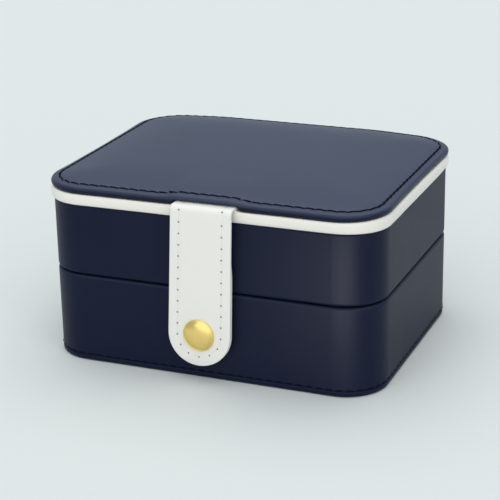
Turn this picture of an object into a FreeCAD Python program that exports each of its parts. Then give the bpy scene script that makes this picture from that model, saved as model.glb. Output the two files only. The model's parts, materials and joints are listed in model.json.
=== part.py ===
import FreeCAD, Part
import Sketcher
import os

# A small two-tier jewellery case: lower box, upper tray, padded lid and a snap strap.
# Millimetres. The base rests on z = 0, the front faces -Y and the strap hangs on the front.

doc = FreeCAD.newDocument("jewellery_case")
sheet = doc.addObject("Spreadsheet::Sheet", "Dims")

DIMENSIONS = {
    # outside of the case, over the leather
    "case_width": 150.0,
    "case_depth": 118.0,
    "corner_radius": 18.5,
    # base panel and the two tiers
    "base_thickness": 3.0,
    "base_edge_round": 1.3,
    "lower_height": 39.3,
    "seam_gap": 0.8,
    "tray_height": 31.2,
    "lid_gap": 0.3,
    # what a wall is made of, from outside to inside
    "wrap_thickness": 0.8,
    "board_thickness": 3.0,
    "lining_thickness": 0.7,
    "rim_round": 1.2,
    "lining_drop": 1.2,
    # floors
    "lower_pad_thickness": 1.6,
    "tray_cloth_thickness": 0.6,
    "tray_board_thickness": 2.0,
    "tray_pad_thickness": 1.2,
    # dividers
    "divider_thickness": 3.0,
    "divider_round": 1.2,
    "divider_clearance": 0.1,
    "lower_divider_height": 26.0,
    "lower_main_back": 10.0,
    "lower_bay_spacing": 48.0,
    "tray_divider_height": 20.0,
    "tray_split_right": 6.0,
    # ring rolls
    "roll_edge_gap": 4.8,
    "roll_gap": 0.4,
    "roll_height": 16.0,
    "roll_wall_gap": 4.2,
    "roll_divider_gap": 1.0,
    "roll_end_round": 3.0,
    # lid
    "piping_radius": 2.6,
    "piping_proud": 1.2,
    "piping_squeeze": 0.5,
    "pad_overhang": 1.1,
    "pad_roll_radius": 1.75,
    "pad_web": 2.2,
    "crown_foot_inset": 2.9,
    "stitch_depth": 0.5,
    "crown_height": 3.0,
    "crown_run": 40.0,
    "crown_top_radius": 12.0,
    "stiffener_thickness": 1.6,
    "stiffener_inset": 11.0,
    "lid_board_clearance": 0.1,
    "lid_cloth_thickness": 0.6,
    "mirror_width": 98.0,
    "mirror_depth": 66.0,
    "mirror_corner": 8.0,
    "mirror_thickness": 2.0,
    "mirror_lap": 2.0,
    "mirror_clearance": 0.1,
    # strap
    "strap_width": 28.0,
    "strap_thickness": 1.4,
    "strap_backing_thickness": 1.0,
    "strap_bend_radius": 0.9,
    "strap_stand_off": 3.1,
    "strap_fold_drop": 2.0,
    "strap_backing_drop": 7.0,
    "tab_length": 9.0,
    "slot_clearance": 0.1,
    # snap fastener
    "snap_height": 21.7,
    "cap_radius": 7.0,
    "cap_rim": 0.7,
    "cap_dome": 1.9,
    "shank_radius": 1.5,
    "shank_clearance": 0.1,
    "socket_radius": 5.2,
    "socket_thickness": 2.0,
    "socket_bore": 2.6,
    "spring_groove": 0.5,
    "spring_wire": 0.25,
    "stud_flange_radius": 4.6,
    "stud_flange_thickness": 0.7,
    "stud_neck_radius": 1.7,
    "stud_head_radius": 2.0,
    "stud_head_thickness": 0.7,
    "stud_length": 2.5,
    "washer_radius": 4.2,
    "washer_thickness": 0.7,
    # leather hinge on the rear
    "hinge_width": 104.0,
    "hinge_thickness": 0.9,
    "hinge_bead": 1.0,
    "hinge_glue_length": 22.0,
}

for row, (alias, size) in enumerate(DIMENSIONS.items(), start=1):
    sheet.set("A%d" % row, alias)
    sheet.set("B%d" % row, str(size))
    sheet.setAlias("B%d" % row, alias)
doc.recompute()

# Levels and faces that follow from the driving sizes.
FRONT = "(Dims.case_depth / 2)"
REAR = "(Dims.case_depth / 2)"
SIDE = "(Dims.case_width / 2)"
BOARD_OUT = "Dims.wrap_thickness"
BOARD_IN = "(Dims.wrap_thickness + Dims.board_thickness)"
ROOM = "(Dims.wrap_thickness + Dims.board_thickness + Dims.lining_thickness)"
LOWER_FLOOR = "(Dims.base_thickness + Dims.lower_pad_thickness)"
TRAY_BOTTOM = "(Dims.lower_height + Dims.seam_gap)"
TRAY_BOARD = "(%s + Dims.tray_cloth_thickness)" % TRAY_BOTTOM
TRAY_PAD = "(%s + Dims.tray_board_thickness)" % TRAY_BOARD
TRAY_FLOOR = "(%s + Dims.tray_pad_thickness)" % TRAY_PAD
TRAY_TOP = "(%s + Dims.tray_height)" % TRAY_BOTTOM
LID_BOTTOM = "(%s + Dims.lid_gap)" % TRAY_TOP
LID_BOARD = "(%s + Dims.lid_cloth_thickness)" % LID_BOTTOM
PIPING_LEVEL = "(%s + Dims.piping_radius)" % LID_BOTTOM
PAD_BOTTOM = "(%s + Dims.piping_radius - Dims.piping_squeeze)" % PIPING_LEVEL
PAD_ROLL_LEVEL = "(%s + Dims.pad_roll_radius)" % PAD_BOTTOM
PAD_ROLL_TOP = "(%s + 2 * Dims.pad_roll_radius)" % PAD_BOTTOM
SEAM_LEVEL = "(Dims.lower_height + Dims.seam_gap / 2)"
LID_SEAM_LEVEL = "(%s + Dims.lid_gap / 2)" % TRAY_TOP
BEAD_REACH = "(Dims.hinge_bead + Dims.hinge_thickness)"
STRAP_AXIS_OUT = "(%s + Dims.strap_stand_off)" % FRONT
STRAP_AXIS_LEVEL = "(%s - Dims.strap_bend_radius)" % PAD_BOTTOM
STRAP_BACK = "(%s + Dims.strap_bend_radius)" % STRAP_AXIS_OUT
STRAP_FACE = "(%s + Dims.strap_thickness)" % STRAP_BACK
BACKING_BACK = "(%s - Dims.strap_backing_thickness)" % STRAP_BACK
SOCKET_BACK = "(%s - Dims.socket_thickness)" % BACKING_BACK
PAD_EDGE = "(%s + Dims.pad_overhang)" % FRONT


def value(expression):
    """The number that an expression on the sheet gives."""
    return float(sheet.evalExpression(expression))


def make_body(label):
    body = doc.addObject("PartDesign::Body", label)
    body.Label = label
    return body


def make_sketch(body, name, role="XY_Plane", lift=None):
    """A sketch on one of the body's origin planes, moved along its normal by lift."""
    sketch = body.newObject("Sketcher::SketchObject", name)
    plane = [item for item in body.Origin.OriginFeatures if item.Role == role][0]
    sketch.AttachmentSupport = [(plane, "")]
    sketch.MapMode = "FlatFace"
    if lift:
        sketch.setExpression("AttachmentOffset.Base.z", lift)
    return sketch


def drive(sketch, constraint, name, expression):
    """Add a dimension to a sketch and bind it to the sheet."""
    index = sketch.addConstraint(constraint)
    sketch.renameConstraint(index, name)
    sketch.setExpression("Constraints." + name, expression)


def add_line(sketch, start, end):
    first = FreeCAD.Vector(start[0], start[1], 0)
    last = FreeCAD.Vector(end[0], end[1], 0)
    return sketch.addGeometry(Part.LineSegment(first, last), False)


def add_arc(sketch, centre, radius, start, end):
    """An arc counterclockwise from start to end, both in quarter turns."""
    quarter = 1.5707963267948966
    circle = Part.Circle(FreeCAD.Vector(centre[0], centre[1], 0), FreeCAD.Vector(0, 0, 1), radius)
    return sketch.addGeometry(Part.ArcOfCircle(circle, start * quarter, end * quarter), False)


def rounded_outline(sketch, tag, width, depth, radius):
    """A rounded rectangle about the sketch origin, with its three sizes on the sheet."""
    half_x = value(width) / 2
    half_y = value(depth) / 2
    bend = value(radius)
    near_x = half_x - bend
    near_y = half_y - bend
    front = add_line(sketch, (-near_x, -half_y), (near_x, -half_y))
    right = add_line(sketch, (half_x, -near_y), (half_x, near_y))
    rear = add_line(sketch, (near_x, half_y), (-near_x, half_y))
    left = add_line(sketch, (-half_x, near_y), (-half_x, -near_y))
    front_right = add_arc(sketch, (near_x, -near_y), bend, 3, 4)
    rear_right = add_arc(sketch, (near_x, near_y), bend, 0, 1)
    rear_left = add_arc(sketch, (-near_x, near_y), bend, 1, 2)
    front_left = add_arc(sketch, (-near_x, -near_y), bend, 2, 3)
    loop = [front, front_right, right, rear_right, rear, rear_left, left, front_left]
    for here, after in zip(loop, loop[1:] + loop[:1]):
        sketch.addConstraint(Sketcher.Constraint("Tangent", here, 2, after, 1))
    for line in (front, rear):
        sketch.addConstraint(Sketcher.Constraint("Horizontal", line))
    for line in (right, left):
        sketch.addConstraint(Sketcher.Constraint("Vertical", line))
    for arc in (rear_right, rear_left, front_left):
        sketch.addConstraint(Sketcher.Constraint("Equal", front_right, arc))
    sketch.addConstraint(Sketcher.Constraint("Symmetric", front_right, 3, rear_left, 3, -1, 1))
    across = Sketcher.Constraint("DistanceX", left, 1, right, 1, 2 * half_x)
    along = Sketcher.Constraint("DistanceY", front, 1, rear, 1, 2 * half_y)
    drive(sketch, across, tag + "_width", width)
    drive(sketch, along, tag + "_depth", depth)
    drive(sketch, Sketcher.Constraint("Radius", front_right, bend), tag + "_radius", radius)


def case_outline(sketch, tag, inset):
    """The outline of the case, moved in by inset."""
    width = "(Dims.case_width - 2 * %s)" % inset
    depth = "(Dims.case_depth - 2 * %s)" % inset
    radius = "(Dims.corner_radius - %s)" % inset
    rounded_outline(sketch, tag, width, depth, radius)


def add_pad(body, name, sketch, length):
    pad = body.newObject("PartDesign::Pad", name)
    pad.Profile = sketch
    pad.setExpression("Length", length)
    doc.recompute()
    return pad


def add_fillet(body, name, base, edges, radius):
    fillet = body.newObject("PartDesign::Fillet", name)
    fillet.Base = (base, edges)
    fillet.setExpression("Radius", radius)
    doc.recompute()
    return fillet


def outer_edges(feature, level):
    """The edges at one level that lie on the outside of a feature."""
    flat = []
    for number, edge in enumerate(feature.Shape.Edges, start=1):
        here = edge.BoundBox
        if abs(here.ZMin - level) < 1e-4 and abs(here.ZMax - level) < 1e-4:
            flat.append((number, here))
    far_x = max(here.XMax for number, here in flat)
    far_y = max(here.YMax for number, here in flat)
    outside = []
    for number, here in flat:
        reach_x = max(abs(here.XMin), abs(here.XMax))
        reach_y = max(abs(here.YMin), abs(here.YMax))
        if reach_x > far_x - 1e-4 or reach_y > far_y - 1e-4:
            outside.append("Edge%d" % number)
    return outside


def make_plate(label, inset, bottom, height):
    """A solid plate with the outline of the case."""
    body = make_body(label)
    sketch = make_sketch(body, label + "_outline", lift=bottom)
    case_outline(sketch, "outer", inset)
    add_pad(body, label + "_pad", sketch, height)
    return body


def make_ring(label, outer, inner, bottom, height):
    """A wall that follows the outline of the case between two insets."""
    body = make_body(label)
    sketch = make_sketch(body, label + "_outline", lift=bottom)
    case_outline(sketch, "outer", outer)
    case_outline(sketch, "inner", inner)
    add_pad(body, label + "_pad", sketch, height)
    return body


def round_outside(body, levels, radius):
    """Round the outer edges of a body at the given levels."""
    for number, level in enumerate(levels, start=1):
        name = "%s_round_%d" % (body.Label, number)
        add_fillet(body, name, body.Tip, outer_edges(body.Tip, value(level)), radius)


def make_box(name, x, y, z, length, width, height):
    """A box from its low corner, each size and place an expression."""
    box = doc.addObject("Part::Box", name)
    box.setExpression("Length", length)
    box.setExpression("Width", width)
    box.setExpression("Height", height)
    box.setExpression("Placement.Base.x", x)
    box.setExpression("Placement.Base.y", y)
    box.setExpression("Placement.Base.z", z)
    return box


def make_rod(name, radius, start, length):
    """A cylinder on the axis of the snap, from a distance in front of the case centre."""
    rod = doc.addObject("Part::Cylinder", name)
    rod.setExpression("Radius", radius)
    rod.setExpression("Height", length)
    rod.Placement.Rotation = FreeCAD.Rotation(FreeCAD.Vector(1, 0, 0), 90)
    rod.setExpression("Placement.Base.y", "-" + start)
    rod.setExpression("Placement.Base.z", "Dims.snap_height")
    return rod


def cut(label, base, tool):
    result = doc.addObject("Part::Cut", label)
    result.Base = base
    result.Tool = tool
    result.Label = label
    return result


def fuse(label, pieces):
    result = doc.addObject("Part::MultiFuse", label)
    result.Shapes = pieces
    result.Label = label
    return result


def make_divider(label, x, y, z, length, width, height):
    """A cloth-covered board that stands on a floor, rounded along its top edges."""
    body = make_body(label)
    board = body.newObject("PartDesign::AdditiveBox", label + "_board")
    board.setExpression("Length", length)
    board.setExpression("Width", width)
    board.setExpression("Height", height)
    board.setExpression("Placement.Base.x", x)
    board.setExpression("Placement.Base.y", y)
    board.setExpression("Placement.Base.z", z)
    doc.recompute()
    along_x = value(length) > value(width)
    top = board.Shape.BoundBox.ZMax
    edges = []
    for number, edge in enumerate(board.Shape.Edges, start=1):
        here = edge.BoundBox
        runs_along = here.XLength > 1 if along_x else here.YLength > 1
        if here.ZMin > top - 1e-4 and runs_along:
            edges.append("Edge%d" % number)
    add_fillet(body, label + "_round", board, edges, "Dims.divider_round")
    return body


nodes = {}

# Lower box: a base panel, a board wall in leather, lining, floor pad and dividers.

base_panel = make_plate("base_panel", "0", "0", "Dims.base_thickness")
round_outside(base_panel, ["0", "Dims.base_thickness"], "Dims.base_edge_round")
nodes["base_panel"] = base_panel

stud_hole_radius = "Dims.shank_radius + Dims.shank_clearance"
stud_hole = make_rod("stud_hole", stud_hole_radius, "(%s - 2 * %s)" % (FRONT, BOARD_IN),
                     "3 * %s" % BOARD_IN)
washer_back = "(%s - %s)" % (FRONT, BOARD_IN)
washer_seat = make_rod("washer_seat", "Dims.washer_radius + Dims.shank_clearance", washer_back,
                       "Dims.washer_thickness")
stud_cutter = fuse("stud_cutter", [stud_hole, washer_seat])

lower_core = make_ring("lower_core", BOARD_OUT, BOARD_IN, "Dims.base_thickness",
                       "Dims.lower_height - Dims.base_thickness - Dims.wrap_thickness")
nodes["lower_wall"] = cut("lower_wall", lower_core, stud_cutter)

lower_cover = make_ring("lower_cover", "0", BOARD_IN, "Dims.base_thickness",
                        "Dims.lower_height - Dims.base_thickness")
round_outside(lower_cover, ["Dims.lower_height"], "Dims.rim_round")
lower_skin = cut("lower_skin", lower_cover, lower_core)
nodes["lower_wrap"] = cut("lower_wrap", lower_skin, stud_hole)

nodes["lower_floor_pad"] = make_plate("lower_floor_pad", BOARD_IN, "Dims.base_thickness",
                                      "Dims.lower_pad_thickness")
nodes["lower_lining"] = make_ring("lower_lining", BOARD_IN, ROOM, LOWER_FLOOR,
                                  "Dims.lower_height - Dims.lining_drop - %s" % LOWER_FLOOR)

ROOM_X = "(%s - %s - Dims.divider_clearance)" % (SIDE, ROOM)
ROOM_Y = "(%s - %s - Dims.divider_clearance)" % (FRONT, ROOM)
nodes["lower_divider_main"] = make_divider(
    "lower_divider_main", "-" + ROOM_X, "Dims.lower_main_back", LOWER_FLOOR,
    "2 * " + ROOM_X, "Dims.divider_thickness", "Dims.lower_divider_height")
BAY_LENGTH = "(%s + Dims.lower_main_back - Dims.divider_clearance)" % ROOM_Y
for side, sign in (("left", "-"), ("right", "")):
    middle = "%sDims.lower_bay_spacing / 2 - Dims.divider_thickness / 2" % sign
    nodes["lower_divider_" + side] = make_divider(
        "lower_divider_" + side, middle, "-" + ROOM_Y, LOWER_FLOOR,
        "Dims.divider_thickness", BAY_LENGTH, "Dims.lower_divider_height")

# Upper tray: the same wall, closed below by a cloth, a board and a pad.

tray_core = make_ring("tray_core", BOARD_OUT, BOARD_IN, "%s + Dims.wrap_thickness" % TRAY_BOTTOM,
                      "Dims.tray_height - 2 * Dims.wrap_thickness")
nodes["tray_wall"] = tray_core
tray_core.Label = "tray_wall"
tray_cover = make_ring("tray_cover", "0", BOARD_IN, TRAY_BOTTOM, "Dims.tray_height")
round_outside(tray_cover, [TRAY_BOTTOM, TRAY_TOP], "Dims.rim_round")
nodes["tray_wrap"] = cut("tray_wrap", tray_cover, tray_core)
nodes["tray_underside_cloth"] = make_plate("tray_underside_cloth", BOARD_IN, TRAY_BOTTOM,
                                           "Dims.tray_cloth_thickness")
nodes["tray_floor"] = make_plate("tray_floor", BOARD_IN, TRAY_BOARD, "Dims.tray_board_thickness")
nodes["tray_floor_pad"] = make_plate("tray_floor_pad", BOARD_IN, TRAY_PAD, "Dims.tray_pad_thickness")
nodes["tray_lining"] = make_ring("tray_lining", BOARD_IN, ROOM, TRAY_FLOOR,
                                 "%s - Dims.lining_drop - %s" % (TRAY_TOP, TRAY_FLOOR))
nodes["tray_divider_main"] = make_divider(
    "tray_divider_main", "Dims.tray_split_right - Dims.divider_thickness / 2", "-" + ROOM_Y, TRAY_FLOOR,
    "Dims.divider_thickness", "2 * " + ROOM_Y, "Dims.tray_divider_height")
TRAY_RIGHT = "(Dims.tray_split_right + Dims.divider_thickness / 2 + Dims.divider_clearance)"
nodes["tray_divider_cross"] = make_divider(
    "tray_divider_cross", TRAY_RIGHT, "-Dims.divider_thickness / 2", TRAY_FLOOR,
    "%s - %s" % (ROOM_X, TRAY_RIGHT), "Dims.divider_thickness", "Dims.tray_divider_height")

# Ring rolls: arched foam rolls that lie from left to right, side by side from front to rear.

ROLL_COUNT = 7
ROLL_START = "(%s - %s - Dims.roll_wall_gap)" % (SIDE, ROOM)
ROLL_END = "(Dims.tray_split_right - Dims.divider_thickness / 2 - Dims.roll_divider_gap)"
ROLL_PITCH = "((Dims.case_depth - 2 * %s - 2 * Dims.roll_edge_gap) / %d)" % (ROOM, ROLL_COUNT)
ROLL_WIDTH = "(%s - Dims.roll_gap)" % ROLL_PITCH
for place in range(ROLL_COUNT):
    label = "ring_roll_%d" % (place + 1)
    centre = "(%d * %s)" % (place - ROLL_COUNT // 2, ROLL_PITCH)
    body = make_body(label)
    arch = make_sketch(body, label + "_arch", role="YZ_Plane", lift="-" + ROLL_START)
    bend = value(ROLL_WIDTH) / 2
    shoulder = value(TRAY_FLOOR) + value("Dims.roll_height") - bend
    left = value(centre) - bend
    right = value(centre) + bend
    floor = value(TRAY_FLOOR)
    bottom = add_line(arch, (left, floor), (right, floor))
    rise = add_line(arch, (right, floor), (right, shoulder))
    top = add_arc(arch, (value(centre), shoulder), bend, 0, 2)
    fall = add_line(arch, (left, shoulder), (left, floor))
    arch.addConstraint(Sketcher.Constraint("Coincident", bottom, 2, rise, 1))
    arch.addConstraint(Sketcher.Constraint("Tangent", rise, 2, top, 1))
    arch.addConstraint(Sketcher.Constraint("Tangent", top, 2, fall, 1))
    arch.addConstraint(Sketcher.Constraint("Coincident", fall, 2, bottom, 1))
    arch.addConstraint(Sketcher.Constraint("Horizontal", bottom))
    arch.addConstraint(Sketcher.Constraint("Vertical", rise))
    drive(arch, Sketcher.Constraint("Radius", top, bend), "arch_radius", ROLL_WIDTH + " / 2")
    drive(arch, Sketcher.Constraint("DistanceX", -1, 1, top, 3, value(centre)), "arch_place", centre)
    drive(arch, Sketcher.Constraint("DistanceY", -1, 1, bottom, 1, floor), "arch_floor", TRAY_FLOOR)
    drive(arch, Sketcher.Constraint("DistanceY", bottom, 1, top, 3, shoulder - floor), "arch_shoulder",
          "Dims.roll_height - %s / 2" % ROLL_WIDTH)
    roll = add_pad(body, label + "_pad", arch, "%s + %s" % (ROLL_START, ROLL_END))
    ends = []
    for number, edge in enumerate(roll.Shape.Edges, start=1):
        here = edge.BoundBox
        if here.XLength < 1e-4 and here.ZMax > floor + 1:
            ends.append("Edge%d" % number)
    add_fillet(body, label + "_round", roll, ends, "Dims.roll_end_round")
    nodes[label] = body

# Lid: lining cloth, board, mirror, piping all round, and a crowned pad with a rolled edge.

PIPING_PATH = "(Dims.piping_radius - Dims.piping_proud)"
BOARD_EDGE = "(2 * Dims.piping_radius - Dims.piping_proud + Dims.lid_board_clearance)"


def add_round_sweep(body, name, inset, level, radius):
    """Sweep a circle round the outline of the case."""
    path = make_sketch(body, name + "_path", lift=level)
    case_outline(path, "path", inset)
    section = make_sketch(body, name + "_section", role="YZ_Plane")
    out = "(%s - %s)" % (FRONT, inset)
    disc = Part.Circle(FreeCAD.Vector(-value(out), value(level), 0), FreeCAD.Vector(0, 0, 1), value(radius))
    ring = section.addGeometry(disc, False)
    drive(section, Sketcher.Constraint("Radius", ring, value(radius)), "section_radius", radius)
    drive(section, Sketcher.Constraint("DistanceX", ring, 3, -1, 1, value(out)), "section_out", out)
    drive(section, Sketcher.Constraint("DistanceY", -1, 1, ring, 3, value(level)), "section_level", level)
    doc.recompute()
    sweep = body.newObject("PartDesign::AdditivePipe", name)
    sweep.Profile = section
    sweep.Spine = (path, ["Edge%d" % number for number in range(1, 9)])
    doc.recompute()
    return sweep


piping_body = make_body("piping_body")
add_round_sweep(piping_body, "piping_sweep", PIPING_PATH, PIPING_LEVEL, "Dims.piping_radius")
pressed_top = make_box("pressed_top", "-Dims.case_width", "-Dims.case_depth", PAD_BOTTOM,
                       "2 * Dims.case_width", "2 * Dims.case_depth", "2 * Dims.piping_radius")
HINGE_ROOM = "(Dims.hinge_width + 2 * Dims.slot_clearance)"
hinge_notch = make_box("hinge_notch", "-%s / 2" % HINGE_ROOM, REAR, "%s - Dims.lid_gap" % LID_BOTTOM,
                       HINGE_ROOM, "4 * Dims.piping_radius", "4 * Dims.piping_radius")
piping_trim = fuse("piping_trim", [pressed_top, hinge_notch])
nodes["lid_piping"] = cut("lid_piping", piping_body, piping_trim)

LID_BOARD_HEIGHT = "(%s - %s)" % (PAD_BOTTOM, LID_BOARD)
lid_board = make_plate("lid_board", BOARD_EDGE, LID_BOARD, LID_BOARD_HEIGHT)
recess_outline = make_sketch(lid_board, "mirror_recess_outline", lift=LID_BOARD)
rounded_outline(recess_outline, "recess", "Dims.mirror_width + 2 * Dims.mirror_clearance",
                "Dims.mirror_depth + 2 * Dims.mirror_clearance", "Dims.mirror_corner + Dims.mirror_clearance")
mirror_recess = lid_board.newObject("PartDesign::Pocket", "mirror_recess")
mirror_recess.Profile = recess_outline
mirror_recess.Reversed = True
mirror_recess.setExpression("Length", "Dims.mirror_thickness")
doc.recompute()
nodes["lid_board"] = lid_board

lid_mirror = make_body("lid_mirror")
mirror_outline = make_sketch(lid_mirror, "mirror_outline", lift=LID_BOARD)
rounded_outline(mirror_outline, "mirror", "Dims.mirror_width", "Dims.mirror_depth", "Dims.mirror_corner")
add_pad(lid_mirror, "mirror_pad", mirror_outline, "Dims.mirror_thickness")
nodes["lid_mirror"] = lid_mirror

lid_lining = make_body("lid_lining")
cloth_outline = make_sketch(lid_lining, "cloth_outline", lift=LID_BOTTOM)
case_outline(cloth_outline, "outer", BOARD_EDGE)
rounded_outline(cloth_outline, "window", "Dims.mirror_width - 2 * Dims.mirror_lap",
                "Dims.mirror_depth - 2 * Dims.mirror_lap", "Dims.mirror_corner - Dims.mirror_lap")
add_pad(lid_lining, "cloth_pad", cloth_outline, "Dims.lid_cloth_thickness")
nodes["lid_lining"] = lid_lining

pad_core = make_body("pad_core")
web_outline = make_sketch(pad_core, "web_outline", lift=PAD_BOTTOM)
case_outline(web_outline, "web", "(Dims.pad_roll_radius - Dims.pad_overhang)")
add_pad(pad_core, "pad_web", web_outline, "Dims.pad_web")
add_round_sweep(pad_core, "pad_roll", "(Dims.pad_roll_radius - Dims.pad_overhang)", PAD_ROLL_LEVEL,
                "Dims.pad_roll_radius")

# The crown starts inside the rolled edge, which leaves the stitch groove between the two.
# It rises steeply at its foot and flattens toward the middle.
crown_sketches = []
foot_section = make_sketch(pad_core, "crown_foot", lift="(%s + Dims.pad_web / 2)" % PAD_BOTTOM)
case_outline(foot_section, "foot", "Dims.crown_foot_inset")
crown_sketches.append(foot_section)
for number, share in enumerate((0.0, 0.07, 0.16, 0.28, 0.43, 0.62, 1.0), start=1):
    rise = 1 - (1 - share) ** 4
    level = "(%s - Dims.stitch_depth + %.5f * Dims.crown_height)" % (PAD_ROLL_TOP, rise)
    inset = "(Dims.crown_foot_inset + %.5f * Dims.crown_run)" % share
    outer_radius = "(Dims.corner_radius - Dims.crown_foot_inset)"
    radius = "(%s + %.5f * (Dims.crown_top_radius - %s))" % (outer_radius, share, outer_radius)
    section = make_sketch(pad_core, "crown_%d" % number, lift=level)
    rounded_outline(section, "crown", "(Dims.case_width - 2 * %s)" % inset,
                    "(Dims.case_depth - 2 * %s)" % inset, radius)
    crown_sketches.append(section)
doc.recompute()
crown = pad_core.newObject("PartDesign::AdditiveLoft", "crown")
crown.Profile = crown_sketches[0]
crown.Sections = crown_sketches[1:]
crown.Ruled = True
doc.recompute()

STRAP_ROOM = "(Dims.strap_width + 2 * Dims.slot_clearance)"
strap_slot = make_box("strap_slot", "-%s / 2" % STRAP_ROOM, "-%s - Dims.tab_length" % FRONT, PAD_BOTTOM,
                      STRAP_ROOM, "2 * Dims.tab_length + Dims.slot_clearance",
                      "Dims.strap_thickness + Dims.slot_clearance")
hinge_slot = make_box("hinge_slot", "-%s / 2" % HINGE_ROOM,
                      "%s - Dims.tab_length - Dims.slot_clearance" % REAR, PAD_BOTTOM,
                      HINGE_ROOM, "2 * Dims.tab_length", "Dims.hinge_thickness + Dims.slot_clearance")
lid_stiffener = make_plate("lid_stiffener", "Dims.stiffener_inset", PAD_BOTTOM, "Dims.stiffener_thickness")
nodes["lid_stiffener"] = lid_stiffener
pad_cutter = fuse("pad_cutter", [strap_slot, hinge_slot, lid_stiffener])
nodes["lid_pad"] = cut("lid_pad", pad_core, pad_cutter)

# Strap: a tab held under the pad, a fold over the piping, two leathers and half a snap.

nodes["strap_tab"] = make_box("strap_tab", "-Dims.strap_width / 2", "-" + PAD_EDGE, PAD_BOTTOM,
                              "Dims.strap_width", "Dims.pad_overhang + Dims.tab_length",
                              "Dims.strap_thickness")

fold_body = make_body("strap_fold")
fold = make_sketch(fold_body, "strap_fold_profile", role="YZ_Plane", lift="-Dims.strap_width / 2")
axis_y = -value(STRAP_AXIS_OUT)
axis_z = value(STRAP_AXIS_LEVEL)
inside = value("Dims.strap_bend_radius")
outside = value("Dims.strap_bend_radius + Dims.strap_thickness")
edge_y = -value(PAD_EDGE)
end_z = axis_z - value("Dims.strap_fold_drop")
over = add_line(fold, (edge_y, axis_z + outside), (axis_y, axis_z + outside))
outer_bend = add_arc(fold, (axis_y, axis_z), outside, 1, 2)
down = add_line(fold, (axis_y - outside, axis_z), (axis_y - outside, end_z))
foot = add_line(fold, (axis_y - outside, end_z), (axis_y - inside, end_z))
up = add_line(fold, (axis_y - inside, end_z), (axis_y - inside, axis_z))
inner_bend = add_arc(fold, (axis_y, axis_z), inside, 1, 2)
under = add_line(fold, (axis_y, axis_z + inside), (edge_y, axis_z + inside))
close = add_line(fold, (edge_y, axis_z + inside), (edge_y, axis_z + outside))
for link in (("Tangent", over, 2, outer_bend, 1), ("Tangent", outer_bend, 2, down, 1),
             ("Coincident", down, 2, foot, 1), ("Coincident", foot, 2, up, 1),
             ("Tangent", up, 2, inner_bend, 2), ("Tangent", inner_bend, 1, under, 1),
             ("Coincident", under, 2, close, 1), ("Coincident", close, 2, over, 1),
             ("Horizontal", over), ("Vertical", down), ("Horizontal", foot), ("Vertical", close),
             ("Coincident", outer_bend, 3, inner_bend, 3)):
    fold.addConstraint(Sketcher.Constraint(*link))
drive(fold, Sketcher.Constraint("Radius", inner_bend, inside), "bend_inside", "Dims.strap_bend_radius")
drive(fold, Sketcher.Constraint("Radius", outer_bend, outside), "bend_outside",
      "Dims.strap_bend_radius + Dims.strap_thickness")
drive(fold, Sketcher.Constraint("DistanceX", outer_bend, 3, -1, 1, -axis_y), "axis_out", STRAP_AXIS_OUT)
drive(fold, Sketcher.Constraint("DistanceY", -1, 1, outer_bend, 3, axis_z), "axis_level", STRAP_AXIS_LEVEL)
drive(fold, Sketcher.Constraint("DistanceX", close, 1, -1, 1, -edge_y), "pad_edge", PAD_EDGE)
drive(fold, Sketcher.Constraint("DistanceY", foot, 1, outer_bend, 3, axis_z - end_z), "fold_drop",
      "Dims.strap_fold_drop")
add_pad(fold_body, "strap_fold_pad", fold, "Dims.strap_width")
nodes["strap_fold"] = fold_body


def make_strap_layer(label, top, back, thickness, hole):
    """A leather with parallel sides, a round lower end about the snap and a hole for its shank."""
    body = make_body(label)
    sketch = make_sketch(body, label + "_outline", role="XZ_Plane", lift=back)
    half = value("Dims.strap_width") / 2
    low = value("Dims.snap_height")
    high = value(top)
    head = add_line(sketch, (half, high), (-half, high))
    fall_left = add_line(sketch, (-half, high), (-half, low))
    round_end = add_arc(sketch, (0, low), half, 2, 4)
    rise_right = add_line(sketch, (half, low), (half, high))
    bore = Part.Circle(FreeCAD.Vector(0, low, 0), FreeCAD.Vector(0, 0, 1), value(hole))
    eye = sketch.addGeometry(bore, False)
    for link in (("Coincident", head, 2, fall_left, 1), ("Tangent", fall_left, 2, round_end, 1),
                 ("Tangent", round_end, 2, rise_right, 1), ("Coincident", rise_right, 2, head, 1),
                 ("Horizontal", head), ("Vertical", fall_left), ("PointOnObject", round_end, 3, -2),
                 ("Coincident", round_end, 3, eye, 3)):
        sketch.addConstraint(Sketcher.Constraint(*link))
    drive(sketch, Sketcher.Constraint("Radius", round_end, half), "end_radius", "Dims.strap_width / 2")
    drive(sketch, Sketcher.Constraint("Radius", eye, value(hole)), "hole_radius", hole)
    drive(sketch, Sketcher.Constraint("DistanceY", -1, 1, round_end, 3, low), "end_level", "Dims.snap_height")
    drive(sketch, Sketcher.Constraint("DistanceY", -1, 1, head, 1, high), "head_level", top)
    add_pad(body, label + "_pad", sketch, thickness)
    return body


SHANK_HOLE = "Dims.shank_radius + Dims.shank_clearance"
nodes["strap_leather"] = make_strap_layer(
    "strap_leather", "(%s - Dims.strap_fold_drop)" % STRAP_AXIS_LEVEL, STRAP_BACK, "Dims.strap_thickness",
    SHANK_HOLE)
nodes["strap_backing"] = make_strap_layer(
    "strap_backing", "(%s - Dims.strap_backing_drop)" % STRAP_AXIS_LEVEL, BACKING_BACK,
    "Dims.strap_backing_thickness", SHANK_HOLE)

# Snap: the cap and its shank clamp the strap to a socket with a spring; the stud is on the box.

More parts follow.
